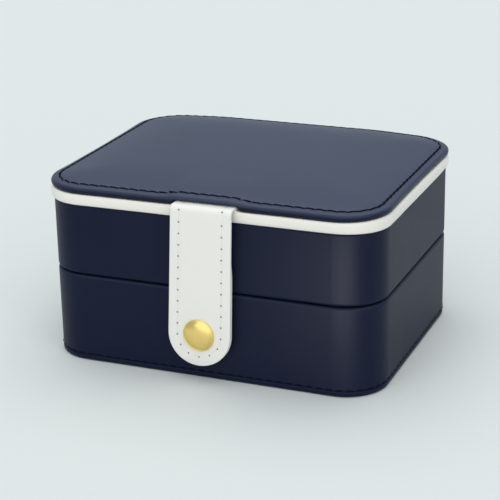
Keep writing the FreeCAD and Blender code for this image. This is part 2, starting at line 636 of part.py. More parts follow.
CAP_SPHERE = "((Dims.cap_radius ^ 2 + Dims.cap_dome ^ 2) / (2 * Dims.cap_dome))"
cap_ball = doc.addObject("Part::Sphere", "cap_ball")
cap_ball.setExpression("Radius", CAP_SPHERE)
cap_ball.setExpression("Placement.Base.y",
                       "-(%s + Dims.cap_rim + Dims.cap_dome - %s)" % (STRAP_FACE, CAP_SPHERE))
cap_ball.setExpression("Placement.Base.z", "Dims.snap_height")
cap_disc = make_rod("cap_disc", "Dims.cap_radius", STRAP_FACE, "Dims.cap_rim + 2 * Dims.cap_dome")
cap_head = doc.addObject("Part::Common", "cap_head")
cap_head.Base = cap_ball
cap_head.Tool = cap_disc
cap_shank = make_rod("cap_shank", "Dims.shank_radius", BACKING_BACK,
                     "Dims.strap_backing_thickness + Dims.strap_thickness + Dims.cap_rim / 2")
nodes["snap_cap"] = fuse("snap_cap", [cap_head, cap_shank])

socket_disc = make_rod("socket_disc", "Dims.socket_radius", SOCKET_BACK, "Dims.socket_thickness")
socket_bore = make_rod("socket_bore", "Dims.socket_bore", SOCKET_BACK,
                       "Dims.socket_thickness - Dims.spring_wire")
GROOVE_BACK = "(%s + Dims.socket_thickness / 2 - 2 * Dims.spring_wire)" % SOCKET_BACK
spring_seat = make_rod("spring_seat", "Dims.socket_bore + Dims.spring_groove", GROOVE_BACK,
                       "4 * Dims.spring_wire")
socket_cutter = fuse("socket_cutter", [socket_bore, spring_seat])
nodes["snap_socket"] = cut("snap_socket", socket_disc, socket_cutter)

snap_spring = doc.addObject("Part::Torus", "snap_spring")
snap_spring.setExpression("Radius1", "Dims.socket_bore + Dims.spring_groove - Dims.spring_wire")
snap_spring.setExpression("Radius2", "Dims.spring_wire")
snap_spring.Placement.Rotation = FreeCAD.Rotation(FreeCAD.Vector(1, 0, 0), 90)
snap_spring.setExpression("Placement.Base.y", "-(%s + Dims.socket_thickness / 2)" % SOCKET_BACK)
snap_spring.setExpression("Placement.Base.z", "Dims.snap_height")
nodes["snap_spring"] = snap_spring

stud_flange = make_rod("stud_flange", "Dims.stud_flange_radius", FRONT, "Dims.stud_flange_thickness")
stud_neck = make_rod("stud_neck", "Dims.stud_neck_radius", FRONT, "Dims.stud_length")
STUD_HEAD = "(%s + Dims.stud_length - Dims.stud_head_thickness)" % FRONT
stud_head = make_rod("stud_head", "Dims.stud_head_radius", STUD_HEAD, "Dims.stud_head_thickness")
WASHER_FACE = "(%s + Dims.washer_thickness)" % washer_back
stud_tail = make_rod("stud_tail", "Dims.shank_radius", WASHER_FACE, "%s - Dims.washer_thickness" % BOARD_IN)
nodes["snap_stud"] = fuse("snap_stud", [stud_flange, stud_neck, stud_head, stud_tail])
nodes["snap_washer"] = make_rod("snap_washer", "Dims.washer_radius", washer_back, "Dims.washer_thickness")

# Leather hinge down the rear: glued runs on lid, tray and box, with a bead of slack at each seam.

nodes["hinge_leather_lower"] = make_box(
    "hinge_leather_lower", "-Dims.hinge_width / 2", REAR,
    "%s - %s - Dims.hinge_glue_length" % (SEAM_LEVEL, BEAD_REACH),
    "Dims.hinge_width", "Dims.hinge_thickness", "Dims.hinge_glue_length")
TRAY_RUN_BOTTOM = "(%s + %s)" % (SEAM_LEVEL, BEAD_REACH)
nodes["hinge_leather_tray"] = make_box(
    "hinge_leather_tray", "-Dims.hinge_width / 2", REAR, TRAY_RUN_BOTTOM,
    "Dims.hinge_width", "Dims.hinge_thickness",
    "%s - %s - %s" % (LID_SEAM_LEVEL, BEAD_REACH, TRAY_RUN_BOTTOM))


def make_bead(label, level):
    """Half a tube of leather about a hinge line."""
    body = make_body(label)
    sketch = make_sketch(body, label + "_profile", role="YZ_Plane", lift="-Dims.hinge_width / 2")
    centre = (value(REAR), value(level))
    small = value("Dims.hinge_bead")
    large = value(BEAD_REACH)
    outer = add_arc(sketch, centre, large, 3, 5)
    inner = add_arc(sketch, centre, small, 3, 5)
    low = add_line(sketch, (centre[0], centre[1] - large), (centre[0], centre[1] - small))
    high = add_line(sketch, (centre[0], centre[1] + small), (centre[0], centre[1] + large))
    for link in (("Coincident", outer, 1, low, 1), ("Coincident", low, 2, inner, 1),
                 ("Coincident", inner, 2, high, 1), ("Coincident", high, 2, outer, 2),
                 ("Coincident", outer, 3, inner, 3), ("Vertical", low), ("Vertical", high),
                 ("Vertical", low, 1, outer, 3)):
        sketch.addConstraint(Sketcher.Constraint(*link))
    drive(sketch, Sketcher.Constraint("Radius", inner, small), "bead_inside", "Dims.hinge_bead")
    drive(sketch, Sketcher.Constraint("Radius", outer, large), "bead_outside", BEAD_REACH)
    drive(sketch, Sketcher.Constraint("DistanceX", -1, 1, outer, 3, centre[0]), "bead_out", REAR)
    drive(sketch, Sketcher.Constraint("DistanceY", -1, 1, outer, 3, centre[1]), "bead_level", level)
    add_pad(body, label + "_pad", sketch, "Dims.hinge_width")
    return body


nodes["hinge_fold_tray"] = make_bead("hinge_fold_tray", SEAM_LEVEL)
nodes["hinge_fold_lid"] = make_bead("hinge_fold_lid", LID_SEAM_LEVEL)

LID_RUN_BOTTOM = "(%s + %s)" % (LID_SEAM_LEVEL, BEAD_REACH)
hinge_run = make_box("hinge_run", "-Dims.hinge_width / 2", REAR, LID_RUN_BOTTOM, "Dims.hinge_width",
                     "Dims.hinge_thickness", "%s - %s" % (PAD_BOTTOM, LID_RUN_BOTTOM))
hinge_tab = make_box("hinge_tab", "-Dims.hinge_width / 2", "%s - Dims.tab_length" % REAR, PAD_BOTTOM,
                     "Dims.hinge_width", "Dims.tab_length", "Dims.hinge_thickness")
hinge_corner = doc.addObject("Part::Cylinder", "hinge_corner")
hinge_corner.setExpression("Radius", "Dims.hinge_thickness")
hinge_corner.setExpression("Height", "Dims.hinge_width")
hinge_corner.Angle = 90
quarter_turn = FreeCAD.Rotation(FreeCAD.Vector(0, 1, 0), 90)
hinge_corner.Placement.Rotation = FreeCAD.Rotation(FreeCAD.Vector(1, 0, 0), 90).multiply(quarter_turn)
hinge_corner.setExpression("Placement.Base.x", "-Dims.hinge_width / 2")
hinge_corner.setExpression("Placement.Base.y", REAR)
hinge_corner.setExpression("Placement.Base.z", PAD_BOTTOM)
nodes["hinge_leather_lid"] = fuse("hinge_leather_lid", [hinge_run, hinge_tab, hinge_corner])

doc.recompute()

faults = []
for item in doc.Objects:
    if "Invalid" in item.State or "Error" in item.State:
        faults.append("%s is %s" % (item.Name, item.State))
for name, item in nodes.items():
    if item.Shape.isNull():
        faults.append("%s has no shape" % name)
    elif not item.Shape.isValid() or item.Shape.Volume <= 0:
        faults.append("%s is not a valid solid" % name)
if faults:
    raise RuntimeError("; ".join(faults))

os.makedirs("parts", exist_ok=True)
for name, item in nodes.items():
    item.Label = name
    item.Shape.exportStep("parts/%s.step" % name)
    box = item.Shape.BoundBox
    size = (box.XLength, box.YLength, box.ZLength)
    print("%-22s solids %d  %.1f x %.1f x %.1f  volume %.0f" % (
        (name, len(item.Shape.Solids)) + size + (item.Shape.Volume,)))
print("%d nodes written" % len(nodes))
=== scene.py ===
# %% [markdown]
# # A leather jewellery case with a strap
# The case is made of boards that are covered in navy leather: a lower box, a tray on top of it and a
# crowned lid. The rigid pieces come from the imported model. This script gives them their finishes and
# makes the soft pieces again, as leather, thread and foam really look.

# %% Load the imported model
import json
import math

import bmesh
import bpy
from mathutils import Matrix, Vector, noise


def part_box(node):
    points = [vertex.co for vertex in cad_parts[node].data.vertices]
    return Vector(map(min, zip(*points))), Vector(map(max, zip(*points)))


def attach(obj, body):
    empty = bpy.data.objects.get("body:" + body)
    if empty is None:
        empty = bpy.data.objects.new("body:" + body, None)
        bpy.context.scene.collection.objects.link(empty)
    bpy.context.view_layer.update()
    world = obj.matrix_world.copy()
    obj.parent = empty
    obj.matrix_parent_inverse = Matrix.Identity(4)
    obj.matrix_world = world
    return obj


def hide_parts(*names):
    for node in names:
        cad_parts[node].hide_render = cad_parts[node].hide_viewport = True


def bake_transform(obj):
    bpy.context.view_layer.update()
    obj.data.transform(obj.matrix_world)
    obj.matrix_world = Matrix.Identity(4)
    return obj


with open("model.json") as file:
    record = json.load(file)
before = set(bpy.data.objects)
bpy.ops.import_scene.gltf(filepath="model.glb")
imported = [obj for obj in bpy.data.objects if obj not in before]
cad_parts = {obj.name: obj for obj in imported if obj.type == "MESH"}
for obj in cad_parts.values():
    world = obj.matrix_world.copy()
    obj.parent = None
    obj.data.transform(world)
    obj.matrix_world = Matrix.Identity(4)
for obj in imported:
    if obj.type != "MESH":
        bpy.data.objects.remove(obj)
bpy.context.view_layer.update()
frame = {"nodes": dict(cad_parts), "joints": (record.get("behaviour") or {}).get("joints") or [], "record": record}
MM = 0.001
scene = bpy.context.scene
print("packed nodes:", len(frame["nodes"]))

# %% [markdown]
# ## Sizes that the soft pieces share
# A leather piece has to meet the boards that it covers. Its sizes could be typed in again, but they would
# drift apart from the model, so most are read from the boxes of the nodes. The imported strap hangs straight.
# The real one leans a little and narrows toward its top, which is added here.

# %% Measure the case
HALF_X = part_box("tray_wrap")[1].x
HALF_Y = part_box("tray_wrap")[1].y
CORNER = 18.5 * MM
CORE_X = HALF_X - CORNER
CORE_Y = HALF_Y - CORNER
PAD_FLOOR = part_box("lid_pad")[0].z
PAD_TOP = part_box("lid_pad")[1].z
joints = {joint["name"]: Vector(joint["pos_m"]) for joint in frame["joints"]}
print("case", round(2 * HALF_X / MM, 1), "by", round(2 * HALF_Y / MM, 1), "mm")

# %% Measure the strap
strap_low, strap_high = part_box("strap_leather")
STRAP_HALF = strap_high.x
STRAP_FACE = strap_low.y
STRAP_BACK = strap_high.y
STRAP_THICK = STRAP_BACK - STRAP_FACE
STRAP_TIP = strap_low.z
STRAP_AXIS = joints["strap_lift"]
SNAP_LEVEL = STRAP_TIP + STRAP_HALF
SNAP_RISE = STRAP_AXIS.z - SNAP_LEVEL
STRAP_LEAN = math.tan(math.radians(2.4))
STRAP_NARROWS = 0.035
STRAP_SHIFT = STRAP_LEAN * SNAP_RISE
STRAP_TOP_HALF = STRAP_HALF * (1 - STRAP_NARROWS)
print("strap width and lean:", round(2 * STRAP_HALF / MM, 1), round(STRAP_SHIFT / MM, 1), "mm")

# %% [markdown]
# ## Writing shader maths as expressions
# A finish is a small graph of nodes. Wiring each Math node by hand hides the idea, so one class wraps a
# socket and turns plus, minus and times into Math nodes. Another holds a material while it is made.


# %% A socket that can be calculated with
class Field:
    """The output of a node. Sums, differences and products of fields become Math nodes."""

    def __init__(self, finish, socket):
        self.finish = finish
        self.socket = socket

    def _math(self, operation, first, second):
        return self.finish.node("ShaderNodeMath", {"operation": operation}, {0: first, 1: second})

    def __add__(self, other):
        return self._math("ADD", self, other)

    def __sub__(self, other):
        return self._math("SUBTRACT", self, other)

    def __rsub__(self, other):
        return self._math("SUBTRACT", other, self)

    def __mul__(self, other):
        return self._math("MULTIPLY", self, other)

    __radd__ = __add__
    __rmul__ = __mul__


# %% A material while it is made
class Finish:
    """A material, with the nodes that this case needs."""

    def __init__(self, name):
        self.material = bpy.data.materials.new(name)
        self.material.use_nodes = True
        self.tree = self.material.node_tree
        self.shader = self.tree.nodes["Principled BSDF"]

    def set_socket(self, socket, content):
        if isinstance(content, Field):
            self.tree.links.new(content.socket, socket)
        else:
            socket.default_value = content

    def node(self, kind, settings=None, sockets=None, output=0):
        made = self.tree.nodes.new(kind)
        for name, content in (settings or {}).items():
            setattr(made, name, content)
        for name, content in (sockets or {}).items():
            self.set_socket(made.inputs[name], content)
        return Field(self, made.outputs[output])

    def place(self):
        return self.node("ShaderNodeTexCoord", output="Object")

    def cloud(self, place, scale, detail, roughness):
        return self.node("ShaderNodeTexNoise", None,
                         {"Vector": place, "Scale": scale, "Detail": detail, "Roughness": roughness})

    def ramp(self, amount, stops):
        """A colour ramp. A new one has two stops already."""
        shade = self.node("ShaderNodeValToRGB", None, {"Fac": amount})
        elements = shade.socket.node.color_ramp.elements
        for stop in stops[2:]:
            elements.new(stop[0])
        for element, (place, colour) in zip(elements, sorted(stops)):
            element.position = place
            element.color = colour
        return shade

    def mix(self, factor, tones):
        return self.node("ShaderNodeMix", {"data_type": "RGBA"},
                         {0: factor, 6: tones[0], 7: tones[1]}, output=2)

    def bump(self, height, strength, distance):
        return self.node("ShaderNodeBump", None,
                         {"Height": height, "Strength": strength, "Distance": distance})

    def shine(self, **sockets):
        """Set the shader's sockets, whose names are written with a low line for each space."""
        for name, content in sockets.items():
            self.set_socket(self.shader.inputs[name.replace("_", " ")], content)
        return self.material


def rgb(*parts):
    """Red, green and blue as a screen shows them, from 0 to 255, as a colour in linear values."""
    linear = []
    for part in parts:
        share = part / 255
        linear.append(share / 12.92 if share < 0.04045 else ((share + 0.055) / 1.055) ** 2.4)
    return (*linear, 1.0)


# %% [markdown]
# ## Leather
# The case is covered in a fine-grained leather with a satin gloss. The grain could be displaced geometry,
# but its pebbles are only about half a millimetre wide, so cells in the bump carry it. The colour drifts a
# little over the hide, and the valleys are duller than the pebbles. On the rims at the seam and on top of
# the lid, a ramp over the height mixes in a lighter tone, which is painted light: a painted highlight along
# the rounded rims, and painted light on the lid's top and the upper half of its roll, which face the light.
# The same ramp gives the lid's top a thin coat.

# %% Leather finish
VALLEY = 0.18
HIDE_PATCHES = 38.0
MOTTLE = 420.0


def painted_light_at(*steps):
    """Ramp stops from heights in millimetres and how much painted light is mixed in there, from 0 to 1."""
    stops = []
    for height, share in steps:
        stops.append((height * MM / PAD_TOP, (share, share, share, 1)))
    return stops


def leather(name, tones, roughness, specular, pebble=0.55, depth=0.05, painted_light=None, lit_tones=None,
            polish=0.0):
    """A leather between two tones. The width and depth of its pebbles are in millimetres."""
    finish = Finish(name)
    place = finish.place()
    cells = finish.node("ShaderNodeTexVoronoi", {"feature": "DISTANCE_TO_EDGE"},
                        {"Vector": place, "Scale": 1 / (pebble * MM)}, output="Distance")
    pebbles = finish.ramp(cells, [(0.0, (0, 0, 0, 1)), (VALLEY, (1, 1, 1, 1))])
    hide = finish.cloud(place, HIDE_PATCHES, 5.0, 0.6)
    mottle = finish.cloud(place, MOTTLE, 3.0, 0.55)
    drift = hide * 0.7 + mottle * 0.3
    tone = finish.mix(drift, tones)
    # Painted light: a lighter tone mixed in by height, for the painted highlight on the rims and the painted light
    # on the lid's top.
    if painted_light:
        level = finish.node("ShaderNodeSeparateXYZ", None, {"Vector": place}, output="Z")
        painted_light_mask = finish.ramp(level * (1 / PAD_TOP), painted_light)
        tone = finish.mix(painted_light_mask, (tone, finish.mix(drift, lit_tones)))
        if polish:
            finish.shine(Coat_Weight=painted_light_mask * polish, Coat_Roughness=roughness)
    normal = finish.bump(pebbles * 0.6 + mottle * 0.5, 0.35, depth * MM)
    gloss = roughness + (hide - 0.5) * 0.10 + (1 - pebbles) * 0.05
    return finish.shine(Base_Color=tone, Roughness=gloss, Normal=normal, Specular_IOR_Level=specular)


# %% The four leathers
# Painted highlight: a lighter band along the rounded rims at the seam between box and tray, where the edges catch
# the light.
RIM_PAINTED_HIGHLIGHT = painted_light_at((38.3, 0), (38.8, 1), (39.3, 0.6), (40.2, 0.3), (40.7, 0))
# Painted light: the lid's top and the upper half of its roll, which face the light, get a lighter tone than the
# roll's lower half.
LID_PAINTED_LIGHT = painted_light_at((77.5, 0), (79.2, 1))
navy = leather("navy_leather_finish", (rgb(11, 17, 40), rgb(18, 26, 53)), 0.42, 0.13, painted_light=RIM_PAINTED_HIGHLIGHT,
               lit_tones=(rgb(28, 35, 56), rgb(40, 47, 67)))
navy_pad = leather("navy_pad_finish", (rgb(12, 18, 40), rgb(19, 26, 51)), 0.42, 0.15, pebble=0.6,
                   painted_light=LID_PAINTED_LIGHT, lit_tones=(rgb(30, 42, 69), rgb(40, 53, 81)), polish=0.55)
white = leather("white_leather_finish", (rgb(234, 232, 225), rgb(241, 239, 232)), 0.5, 0.3, pebble=0.5,
                depth=0.035)
piping_white = leather("piping_leather_finish", (rgb(236, 232, 223), rgb(243, 240, 231)), 0.46, 0.3,
                       pebble=0.5, depth=0.03)
print("leathers:", navy.name, navy_pad.name, white.name, piping_white.name)

# %% [markdown]
# ## Lining cloth
# The inside is lined with a short velvet. Velvet is thousands of standing hairs, which catch the light at
# the edges of a form. Sheen on the shader does that, and two scales of noise give the brushed patches.


# %% Velvet finish
def velvet(name, tones):
    finish = Finish(name)
    place = finish.place()
    patches = finish.cloud(place, 60.0, 4.0, 0.55)
    pile = finish.cloud(place, 2600.0, 2.0, 0.6)
    tone = finish.mix(patches * 0.6 + pile * 0.4, tones)
    normal = finish.bump(pile + patches * 0.6, 0.4, 0.06 * MM)
    return finish.shine(Base_Color=tone, Normal=normal, Roughness=0.9, Sheen_Weight=0.55,
                        Sheen_Roughness=0.45, Specular_IOR_Level=0.15)


lining = velvet("lining_velvet_finish", (rgb(183, 178, 169), rgb(205, 200, 192)))
roll_velvet = velvet("roll_velvet_finish", (rgb(188, 183, 174), rgb(210, 205, 197)))
print("velvets:", lining.name, roll_velvet.name)

# %% [markdown]
# ## Metal, mirror, board and thread
# The snap is plated in polished gold, so nearly all of its look is reflection. A fine bump and a little
# unevenness in the gloss keep it from looking like a perfect ball. Board and thread are fibres, so one
# noise carries their colour, their dullness and their bump.


# %% Gold, steel and mirror finishes
def metal(name, tones, roughness):
    finish = Finish(name)
    place = finish.place()
    haze = finish.cloud(place, 300.0, 4.0, 0.6)
    fine = finish.cloud(place, 2200.0, 2.0, 0.5)
    gloss = roughness + (haze - 0.5) * 0.08
    return finish.shine(Base_Color=finish.mix(haze, tones), Metallic=1.0, Roughness=gloss,
                        Normal=finish.bump(fine, 0.12, 0.01 * MM))


gold = metal("gold_plate_finish", (rgb(245, 214, 128), rgb(252, 225, 142)), 0.32)
steel = metal("spring_wire_finish", (rgb(176, 176, 172), rgb(196, 196, 193)), 0.3)
mirror = metal("mirror_glass_finish", (rgb(238, 241, 242), rgb(242, 244, 245)), 0.06)
print("metals:", gold.name, steel.name, mirror.name)

# %% Board and thread finishes
BOARD_FIBRES = 500.0
THREAD_FIBRES = 3000.0


def fibrous(name, tones, scale, roughness, depth, specular=0.3):
    finish = Finish(name)
    fibre = finish.cloud(finish.place(), scale, 6.0, 0.65)
    return finish.shine(Base_Color=finish.mix(fibre, tones), Roughness=roughness + fibre * 0.12,
                        Specular_IOR_Level=specular, Normal=finish.bump(fibre, 0.3, depth * MM))


board = fibrous("grey_board_finish", (rgb(150, 143, 130), rgb(178, 170, 156)), BOARD_FIBRES, 0.82, 0.08)
dark_thread = fibrous("dark_thread_finish", (rgb(8, 10, 22), rgb(15, 18, 33)), THREAD_FIBRES, 0.8, 0.05,
                      specular=0.08)
white_thread = fibrous("white_thread_finish", (rgb(226, 226, 220), rgb(240, 240, 236)), THREAD_FIBRES, 0.6,
                       0.05)
# The grey of the holes is painted shade: the shade inside each needle hole.
painted_hole_shade = fibrous("painted_hole_shade_finish", (rgb(122, 121, 121), rgb(148, 147, 145)), THREAD_FIBRES, 0.9,
                      0.02)
print("fibres:", board.name, dark_thread.name, white_thread.name, painted_hole_shade.name)

# %% [markdown]
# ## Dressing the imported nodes
# The boards, walls, dividers and mirror have the right shape already. They only need their finishes, so
# each node takes one by the material slot that the record gives it.

# %% Give each node a finish
slot_finishes = {"navy_leather": navy, "white_leather": white, "board": board, "lining_cloth": lining,
                 "brass": gold, "spring_steel": steel, "mirror": mirror}
for entry in frame["record"]["subparts"]:
    node_object = frame["nodes"][entry["node"]]
    node_object.data.materials.clear()
    node_object.data.materials.append(slot_finishes[entry["material_slot"]])

# %% [markdown]
# ## Going round the case
# Pad, piping and stitches all follow the same rounded rectangle. Its corner arcs are centred on the corners
# of a smaller rectangle, the core, so a place at any inset is found by going straight out from the core.
# Stitches also need to know how far round they are, from the left end of the front.


# %% Places on the outline
def core_of(point):
    """The nearest place on the core."""
    return Vector((max(-CORE_X, min(CORE_X, point.x)), max(-CORE_Y, min(CORE_Y, point.y)), 0))


def outward(point):
    flat = Vector((point.x, point.y, 0))
    return (flat - core_of(flat)).normalized()


def rim_place(point, inset, height):
    """The point at an inset from the outline that lies straight out from the core."""
    spot = core_of(point) + outward(point) * (CORNER - inset)
    return Vector((spot.x, spot.y, height))


# %% Lengths round the outline
QUARTER = math.pi / 2
RUNS = ((Vector((-CORE_X, -CORE_Y, 0)), 2 * CORE_X), (Vector((CORE_X, -CORE_Y, 0)), 2 * CORE_Y),
        (Vector((CORE_X, CORE_Y, 0)), 2 * CORE_X), (Vector((-CORE_X, CORE_Y, 0)), 2 * CORE_Y))


def heading(angle):
    return Vector((math.cos(angle), math.sin(angle), 0))


def way_round(inset):
    return 4 * (CORE_X + CORE_Y) + 4 * QUARTER * (CORNER - inset)


def rim_length(point, inset):
    """How far round the outline a point lies: the straight runs and arcs before it, and its own."""
    radius = CORNER - inset
    out = outward(point)
    turn = math.atan2(out.y, out.x) + QUARTER
    if turn < -1e-6:
        turn += 4 * QUARTER
    side = int((turn + 1e-4) / QUARTER) % 4
    start, straight = RUNS[side]
    before = sum(run + QUARTER * radius for corner, run in RUNS[:side])
    along = (point - start).dot(heading(side * QUARTER))
    return before + max(0.0, min(straight, along)) + max(0.0, (turn - side * QUARTER) * radius)


def rim_spot(length, inset):
    """The place at a length round the outline, the direction along it and the direction out."""
    radius = CORNER - inset
    for side, (start, straight) in enumerate(RUNS):
        if length <= straight + QUARTER * radius:
            break
        length -= straight + QUARTER * radius
    bend = max(0.0, length - straight) / radius
    out = heading((side - 1) * QUARTER + bend)
    centre = start + heading(side * QUARTER) * min(length, straight)
    return centre + out * radius, heading(side * QUARTER + bend), out


print("way round:", round(way_round(0.0) / MM, 1), "mm")

# %% [markdown]
# ## The lid pad
# The pad is foam under leather. Its edge is turned over into a small roll, which hangs a little lower along
# the front, over the piping. A line of stitches pulls the leather down behind the roll, and from there the
# crown swells up to the middle. The strap lifts the pad at the front, and the hinge leather toward the
# rear. A cloth simulation would lose the narrow groove, so the outline is extruded through stations, each
# an inset and a height, and each vertex is moved by what lifts, pulls or presses it.

# %% Pad sizes
PAD_PROUD = 1.1 * MM
ROLL_CENTRE = 0.75 * MM
ROLL_HALF = 1.5 * MM
STITCH_INSET = 2.75 * MM
STITCH_PITCH = 4.6 * MM
STITCH_LEVEL = PAD_FLOOR + 3.16 * MM
UNDERSIDE_INSET = 8.9 * MM
STRAP_SLOT = STRAP_THICK + 0.12 * MM
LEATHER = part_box("hinge_leather_tray")[1].y - HALF_Y
HINGE_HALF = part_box("hinge_leather_tray")[1].x
HINGE_SLOT = LEATHER + 0.06 * MM
BOARD_INSET = HALF_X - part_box("lid_stiffener")[1].x - 0.1 * MM
BOARD_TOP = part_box("lid_stiffener")[1].z + 0.05 * MM
print("pad", round((PAD_TOP - PAD_FLOOR) / MM, 1), "mm high")

# %% What lifts the pad
STRAP_SWELL = 1.15 * MM
SWELL_WITHIN = 3 * MM
SWELL_BESIDE = 8 * MM
SWELL_START = 3 * MM
SWELL_END = 30 * MM
REAR_LIFT = 1.5 * MM
REAR_FLAT = HINGE_HALF - 20 * MM
REAR_END = HALF_X - 4 * MM
REAR_FALL = 0.8
SLOT_ROOM = 0.1 * MM
HINGE_ROOM = 0.3 * MM


def smooth_step(low, high, amount):
    share = max(0.0, min(1.0, (amount - low) / (high - low)))
    return share * share * (3 - 2 * share)


def top_lift(point):
    """How far the top of the pad is lifted by the strap, and toward the rear by the hinge leather."""
    from_strap = abs(point.x - STRAP_SHIFT) - STRAP_TOP_HALF
    from_front = point.y + HALF_Y
    over_strap = 1 - smooth_step(-SWELL_WITHIN, SWELL_BESIDE, from_strap)
    over_strap *= 1 - smooth_step(SWELL_START, SWELL_END, from_front)
    over_hinge = 1 - REAR_FALL * smooth_step(REAR_FLAT, REAR_END, abs(point.x))
    over_hinge *= max(0.0, min(1.0, from_front / (2 * HALF_Y)))
    return over_strap * STRAP_SWELL + over_hinge * REAR_LIFT


def under_lift(point):
    """The room that the pad leaves under itself for the strap's tab and for the hinge leather."""
    if point.y < 0:
        edge = STRAP_TOP_HALF + SLOT_ROOM
        return STRAP_SLOT * (1 - smooth_step(edge, edge + 2.1 * MM, abs(point.x - STRAP_SHIFT)))
    edge = HINGE_HALF + HINGE_ROOM
    return HINGE_SLOT * (1 - smooth_step(edge, edge + 2 * MM, abs(point.x)))


print("rear lift:", round(top_lift(Vector((0, HALF_Y, 0))) / MM, 2), "mm")

# %% What pulls and presses the pad
DRAWN_IN = 0.6 * MM
FRONT_DRAWN = 0.3
FRONT_SAG = 0.4 * MM


def drawn_in(point):
    """How far a side of the pad is drawn in between its corners, at the front and rear less so."""
    out = outward(point)
    beside = abs(out.x) > abs(out.y)
    along = point.y / CORE_Y if beside else point.x / CORE_X
    return DRAWN_IN * (1.0 if beside else FRONT_DRAWN) * max(0.0, 1 - along * along)


def front_sag(point):
    """How far the roll hangs down over the piping along the front, beside the strap."""
    facing = max(0.0, -outward(point).y) ** 2
    return FRONT_SAG * facing * (1 - under_lift(point) / STRAP_SLOT)


def stitch_wave(point):
    """1 at the middle of a stitch and 0 at its holes."""
    total = way_round(STITCH_INSET)
    count = round(total / STITCH_PITCH)
    return 0.5 - 0.5 * math.cos(2 * math.pi * count * rim_length(point, STITCH_INSET) / total)


print("sag beside the strap:", round(front_sag(Vector((-CORE_X, -HALF_Y, 0))) / MM, 2), "mm")


# %% Outline of the pad
def bevel(mesh, geom, offset, segments, affect="EDGES", clamp=True):
    """A round bevel, whose new faces keep the material of those beside them."""
    bmesh.ops.bevel(mesh, geom=geom, offset=offset, offset_type="OFFSET", segments=segments, profile=0.5,
                    affect=affect, clamp_overlap=clamp, material=-1)


def case_outline(mesh, inset, height, spacing=1.1 * MM, corner_steps=22):
    """A face with the outline of the case, its straight edges divided evenly."""
    corners = []
    for side, end in ((-1, -1), (1, -1), (1, 1), (-1, 1)):
        corners.append(mesh.verts.new((side * (HALF_X - inset), end * (HALF_Y - inset), height)))
    mesh.faces.new(corners)
    bevel(mesh, corners, CORNER - inset, corner_steps, affect="VERTICES", clamp=False)
    for edge in [edge for edge in mesh.edges if edge.calc_length() > 10 * MM]:
        cuts = 2 * int(edge.calc_length() / spacing / 2) + 1
        bmesh.ops.subdivide_edges(mesh, edges=[edge], cuts=cuts)
    return list(mesh.edges)


pad = bmesh.new()
ring = case_outline(pad, BOARD_INSET, BOARD_TOP)
print("edges round the pad:", len(ring))

# %% Pad edge
ROLL_STEPS = 10
STITCH_PULL = 0.18 * MM
STITCH_PUFF = 0.2 * MM
UNEVEN = 0.10 * MM
stations = [(BOARD_INSET, 0.0), (UNDERSIDE_INSET + 0.5 * MM, 0.0), (UNDERSIDE_INSET, 0.0)]
for step in range(ROLL_STEPS + 1):
    angle = math.radians(-90 + step * 180 / ROLL_STEPS)
    inset = ROLL_CENTRE - math.cos(angle) * (ROLL_CENTRE + PAD_PROUD)
    stations.append((inset, ROLL_HALF * (1 + math.sin(angle))))
stations += [(1.35 * MM, 3.12 * MM), (1.9 * MM, 3.22 * MM), (2.4 * MM, 3.27 * MM)]
stations.append((STITCH_INSET, STITCH_LEVEL - PAD_FLOOR))


def verts_of(geom):
    return [part for part in geom if isinstance(part, bmesh.types.BMVert)]


def edges_of(geom):
    return [part for part in geom if isinstance(part, bmesh.types.BMEdge)]


def extrude_round(mesh, edges, move):
    """Extrude edges and move each new vertex by a rule."""
    grown = bmesh.ops.extrude_edge_only(mesh, edges=edges)["geom"]
    for vert in verts_of(grown):
        vert.co = move(vert.co)
    return edges_of(grown)


def onto_roll(inset, rise):
    """The rule that moves a ring of vertices to one station of the pad's edge."""
    top = smooth_step(0.0, 2 * ROLL_HALF, rise)
    pull = smooth_step(1.2 * MM, STITCH_INSET, inset) if rise > ROLL_HALF else 0.0
    hang = (1 - top) * (1 - smooth_step(2 * MM, UNDERSIDE_INSET, inset))
    at_side = smooth_step(4 * MM, 1 * MM, inset)

    def move(point):
        spot = rim_place(point, inset, PAD_FLOOR + rise)
        if inset <= UNDERSIDE_INSET:
            spot.z += (1 - top) * under_lift(spot) + top * top_lift(spot) - hang * front_sag(spot)
        spot.z += pull * (STITCH_PUFF * stitch_wave(spot) - STITCH_PULL)
        soft = noise.noise(spot * 90) * UNEVEN - drawn_in(spot) * at_side
        return spot + outward(spot) * soft * (1 - pull)
    return move


for inset, rise in stations:
    ring = extrude_round(pad, ring, onto_roll(inset, rise))
print("pad edge rings:", len(stations))

# %% Pad crown
CROWN_RISE = PAD_TOP - STITCH_LEVEL
CROWN_RUN = 40 * MM
CROWN_SOFT = 0.3 * MM
CROWN_PULL = 0.15 * MM
NEAR_STITCHES = (0.01, 0.025, 0.05, 0.08, 0.12, 0.17, 0.23, 0.29)
FURTHER_IN = (0.36, 0.45, 0.55, 0.67, 0.8, 0.95, 1.1, 1.25)


def crown_height(share):
    """The crown comes quickly out of the stitches and then rises gently to the middle."""
    gentle = (CROWN_RISE - CROWN_SOFT) * (1 - max(0.0, 1 - share) ** 3)
    return STITCH_LEVEL + CROWN_SOFT * (1 - math.exp(-share * 90)) + gentle


def onto_crown(share):
    """The rule for a ring near the stitches, where the crown keeps the outline's rounding."""
    fade = math.exp(-share * 24)

    def move(point):
        spot = rim_place(point, STITCH_INSET + share * CROWN_RUN, crown_height(share))
        spot.z += top_lift(spot) + fade * (STITCH_PUFF * stitch_wave(spot) - CROWN_PULL)
        return spot
    return move


